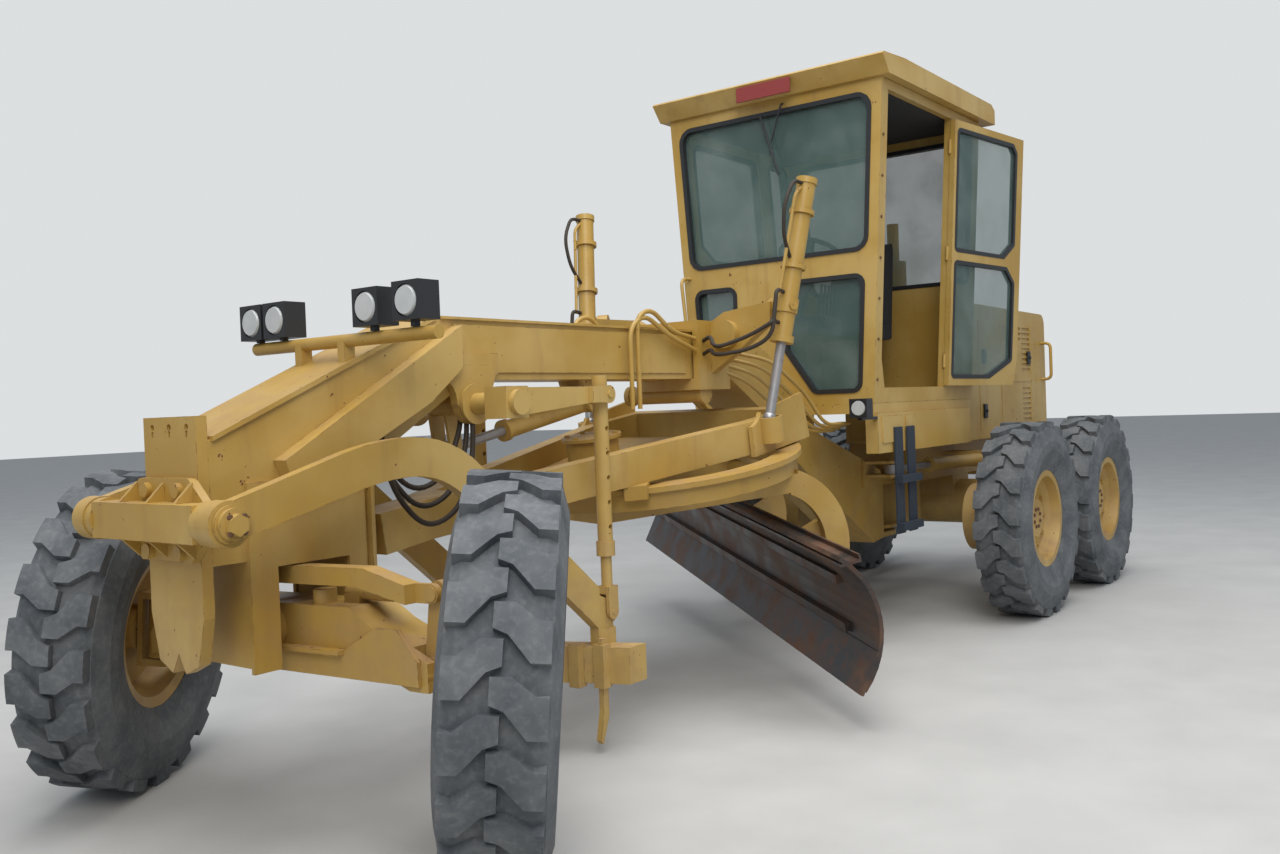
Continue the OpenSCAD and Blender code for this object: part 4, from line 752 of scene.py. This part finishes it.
# Name, slot, radius, bend and points
CAB_TUBES = (
    (
        "mirror_bracket",
        "black_parts",
        0.006,
        0.05,
        ((-0.34, -0.06, 3.10), (-0.33, -0.09, 3.35), (-0.33, 0.19, 3.35), (-0.34, 0.16, 3.10)),
    ),
    (
        "wiper_arm",
        "black_parts",
        0.006,
        0.05,
        ((-0.155, 0.10, 3.35), (-0.13, 0.10, 3.34), (-0.135, 0.02, 3.12)),
    ),
    ("wiper_blade", "black_parts", 0.008, 0.05, ((-0.15, -0.06, 3.30), (-0.145, 0.06, 2.92))),
    (
        "cab_grab_rail",
        "body_paint",
        0.012,
        0.06,
        ((-0.19, -0.60, 1.90), (-0.08, -0.62, 1.90), (-0.08, -0.66, 2.34), (-0.19, -0.64, 2.34)),
    ),
)


def cab_fittings():
    """Plate on the roof's front edge, a dark sheet under the roof as painted shade inside the cab, inside
    mirror, wiper, grab rail and pillar bolts.
    """
    for name, slot, material, corner, opposite, bevel in CAB_BLOCKS:
        shape = bmesh.new()
        add_block(shape, corner, opposite, bevel)
        add_piece(name, "front_unit", slot, shape, material)
    for name, slot, radius, bend, points in CAB_TUBES:
        tube(name, "front_unit", slot, points, radius, bend)
    bolts = bmesh.new()
    for _, sign in SIDES:
        for z in PILLAR_BOLT_ZS:
            half_width = CAB_SILL[1] + (z - CAB_SILL[0]) * CAB_LEAN
            at = (PILLAR_X, sign * (half_width + PILLAR_BOLT_PROUD), z)
            add_bolt(bolts, at, (0, sign, -CAB_LEAN), PILLAR_BOLT_R)
    add_piece("cab_pillar_bolts", "front_unit", "bare_steel", bolts, RUSTY_STEEL)


NOSE_PIN_X = 3.995
NOSE_PIN_Z = 1.19
NOSE_BOLTS = 4
NOSE_BOLT_CIRCLE = 0.036
NOSE_BOLT_INSET = 0.012
NOSE_BOLT_R = 0.007


def nose_pin_bolts():
    """Small rusty bolts on the pin ends of the nose block."""
    end_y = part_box("nose_mount")[1][1] - NOSE_BOLT_INSET
    ahead = Vector((1, 0, 0))
    above = Vector((0, 0, 1))
    shape = bmesh.new()
    for _, sign in SIDES:
        centre = Vector((NOSE_PIN_X, sign * end_y, NOSE_PIN_Z))
        bolt_circle(shape, centre, ahead, above, NOSE_BOLT_CIRCLE, NOSE_BOLTS, (0, sign, 0), NOSE_BOLT_R)
    add_piece("nose_pin_bolts", "front_unit", "bare_steel", shape, RUSTY_STEEL)


# The cylinder's axis, from the saddle's middle and its underside
CENTRE_SHIFT_AHEAD = 0.06
CENTRE_SHIFT_BELOW = 0.02
CENTRE_SHIFT_SIDES = 32
# Barrel and end collars: from and to in y, and radius
CENTRE_SHIFT_RODS = ((-0.30, 0.16, 0.048), (0.16, 0.19, 0.056), (-0.33, -0.30, 0.056))
# Brackets: from and to in y, half their length in x, and how far they reach above the underside
CENTRE_SHIFT_BRACKETS = ((-0.20, -0.13), (0.06, 0.12))
BRACKET_HALF = 0.035
BRACKET_REACH = 0.09
BRACKET_BEVEL = 0.004


def centre_shift_cylinder():
    """The cylinder that swings the drawbar, on two brackets under the saddle."""
    low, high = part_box("lift_saddle")
    x = (low[0] + high[0]) / 2 + CENTRE_SHIFT_AHEAD
    z = low[2] - CENTRE_SHIFT_BELOW
    top_z = low[2] + BRACKET_REACH
    shape = bmesh.new()
    for start_y, end_y, radius in CENTRE_SHIFT_RODS:
        add_rod(shape, (x, start_y, z), (x, end_y, z), radius, CENTRE_SHIFT_SIDES)
    for start_y, end_y in CENTRE_SHIFT_BRACKETS:
        add_block(shape, (x - BRACKET_HALF, start_y, z), (x + BRACKET_HALF, end_y, top_z), BRACKET_BEVEL)
    add_piece("centre_shift_cylinder", "front_unit", "body_paint", shape)


HUB_BOLTS = 8
HUB_FLANGE_OUT = 0.057
HUB_BOLT_CIRCLE = 0.062
HUB_BOLT_R = 0.010


def hub_bolts():
    """Rusty nuts round each rim's hub flange."""
    for name in nodes:
        if not name.startswith("rim_"):
            continue
        place = name.removeprefix("rim_")
        joint = joints[f"wheel_{place}_roll"]
        axis = Vector(joint["axis"]).normalized()
        sign = dict(SIDES)[place.rpartition("_")[2]]
        outward = axis if axis.y * sign > 0 else -axis
        centre = Vector(joint["pos_m"]) + outward * HUB_FLANGE_OUT
        across = outward.cross(Vector((0, 0, 1))).normalized()
        above = across.cross(outward)
        shape = bmesh.new()
        bolt_circle(shape, centre, across, above, HUB_BOLT_CIRCLE, HUB_BOLTS, outward, HUB_BOLT_R)
        add_piece(f"hub_bolts_{place}", f"wheel_{place}", "bare_steel", shape, RUSTY_STEEL)


def camera_axes():
    """The camera's right, up and backward directions in the part's frame."""
    forward = Vector(
        (
            math.cos(CAMERA_PITCH) * math.cos(CAMERA_YAW),
            math.cos(CAMERA_PITCH) * math.sin(CAMERA_YAW),
            math.sin(CAMERA_PITCH),
        )
    )
    level = forward.cross(Vector((0, 0, 1))).normalized()
    upright = level.cross(forward)
    right = math.cos(CAMERA_ROLL) * level + math.sin(CAMERA_ROLL) * upright
    up = math.cos(CAMERA_ROLL) * upright - math.sin(CAMERA_ROLL) * level
    return right, up, -forward


def place_camera():
    scene = bpy.context.scene
    data = bpy.data.cameras.new("Camera")
    data.sensor_width = SENSOR_MM
    data.lens = FOCAL_PIXELS * SENSOR_MM / PHOTO_SIZE[0]
    data.clip_end = CLIP_END
    camera = add_object("Camera", data)
    right, up, out = camera_axes()
    camera.matrix_world = Matrix.Translation(CAMERA_AT) @ Matrix((right, up, out)).transposed().to_4x4()
    scene.camera = camera
    scene.render.resolution_x, scene.render.resolution_y = PHOTO_SIZE


def lamp(name, at, aim, size, power, colour=(1.0, 1.0, 1.0)):
    """A round area lamp that looks at a point."""
    data = bpy.data.lights.new(name, "AREA")
    data.shape = "DISK"
    data.size = size
    data.energy = power
    data.color = colour
    light = add_object(name, data)
    light.location = at
    light.rotation_euler = (Vector(aim) - Vector(at)).to_track_quat("-Z", "Y").to_euler()


FLOOR_HALF = 60.0
SKY_STRENGTH = 0.52
BACKDROP_STRENGTH = 1.0


def build_floor():
    mesh = bpy.data.meshes.new("Floor")
    shape = bmesh.new()
    bmesh.ops.create_grid(shape, x_segments=1, y_segments=1, size=FLOOR_HALF)
    shape.to_mesh(mesh)
    shape.free()
    floor = add_object("Floor", mesh)
    mesh.materials.append(plain("Pale floor", FLOOR, 0.85, 2.0))


def build_sky():
    """A bluish sky that lights the machine, with a paler backdrop where the camera sees it."""
    world = bpy.context.scene.world or bpy.data.worlds.new("World")
    bpy.context.scene.world = world
    world.use_nodes = True
    tree = world.node_tree
    light = tree.nodes["Background"]
    light.inputs["Color"].default_value = SKY_LIGHT
    light.inputs["Strength"].default_value = SKY_STRENGTH
    seen = tree.nodes.new("ShaderNodeBackground")
    seen.inputs["Color"].default_value = BACKDROP
    seen.inputs["Strength"].default_value = BACKDROP_STRENGTH
    paths = tree.nodes.new("ShaderNodeLightPath")
    blend = tree.nodes.new("ShaderNodeMixShader")
    tree.links.new(paths.outputs["Is Camera Ray"], blend.inputs[0])
    tree.links.new(light.outputs[0], blend.inputs[1])
    tree.links.new(seen.outputs[0], blend.inputs[2])
    tree.links.new(blend.outputs[0], tree.nodes["World Output"].inputs["Surface"])


def build_stage():
    build_floor()
    build_sky()
    lamp("Sky", at=(2.0, 2.0, 12.0), aim=(0.0, 0.0, 0.0), size=12.0, power=1350.0)
    lamp("Key", at=(9.0, 6.0, 8.0), aim=(0.0, 0.0, 1.0), size=6.0, power=480.0, colour=(1.0, 0.97, 0.92))
    bpy.context.scene.view_settings.view_transform = "Standard"


place_camera()
build_stage()
for lift_side, lift_sign in SIDES:
    lift_cylinder_pipes(lift_side, lift_sign)
window_gaskets()
lamp_lenses()
frame_pipes()
scarifier_hoses()
hood_fittings()
cab_fittings()
centre_shift_cylinder()
hub_bolts()
nose_pin_bolts()
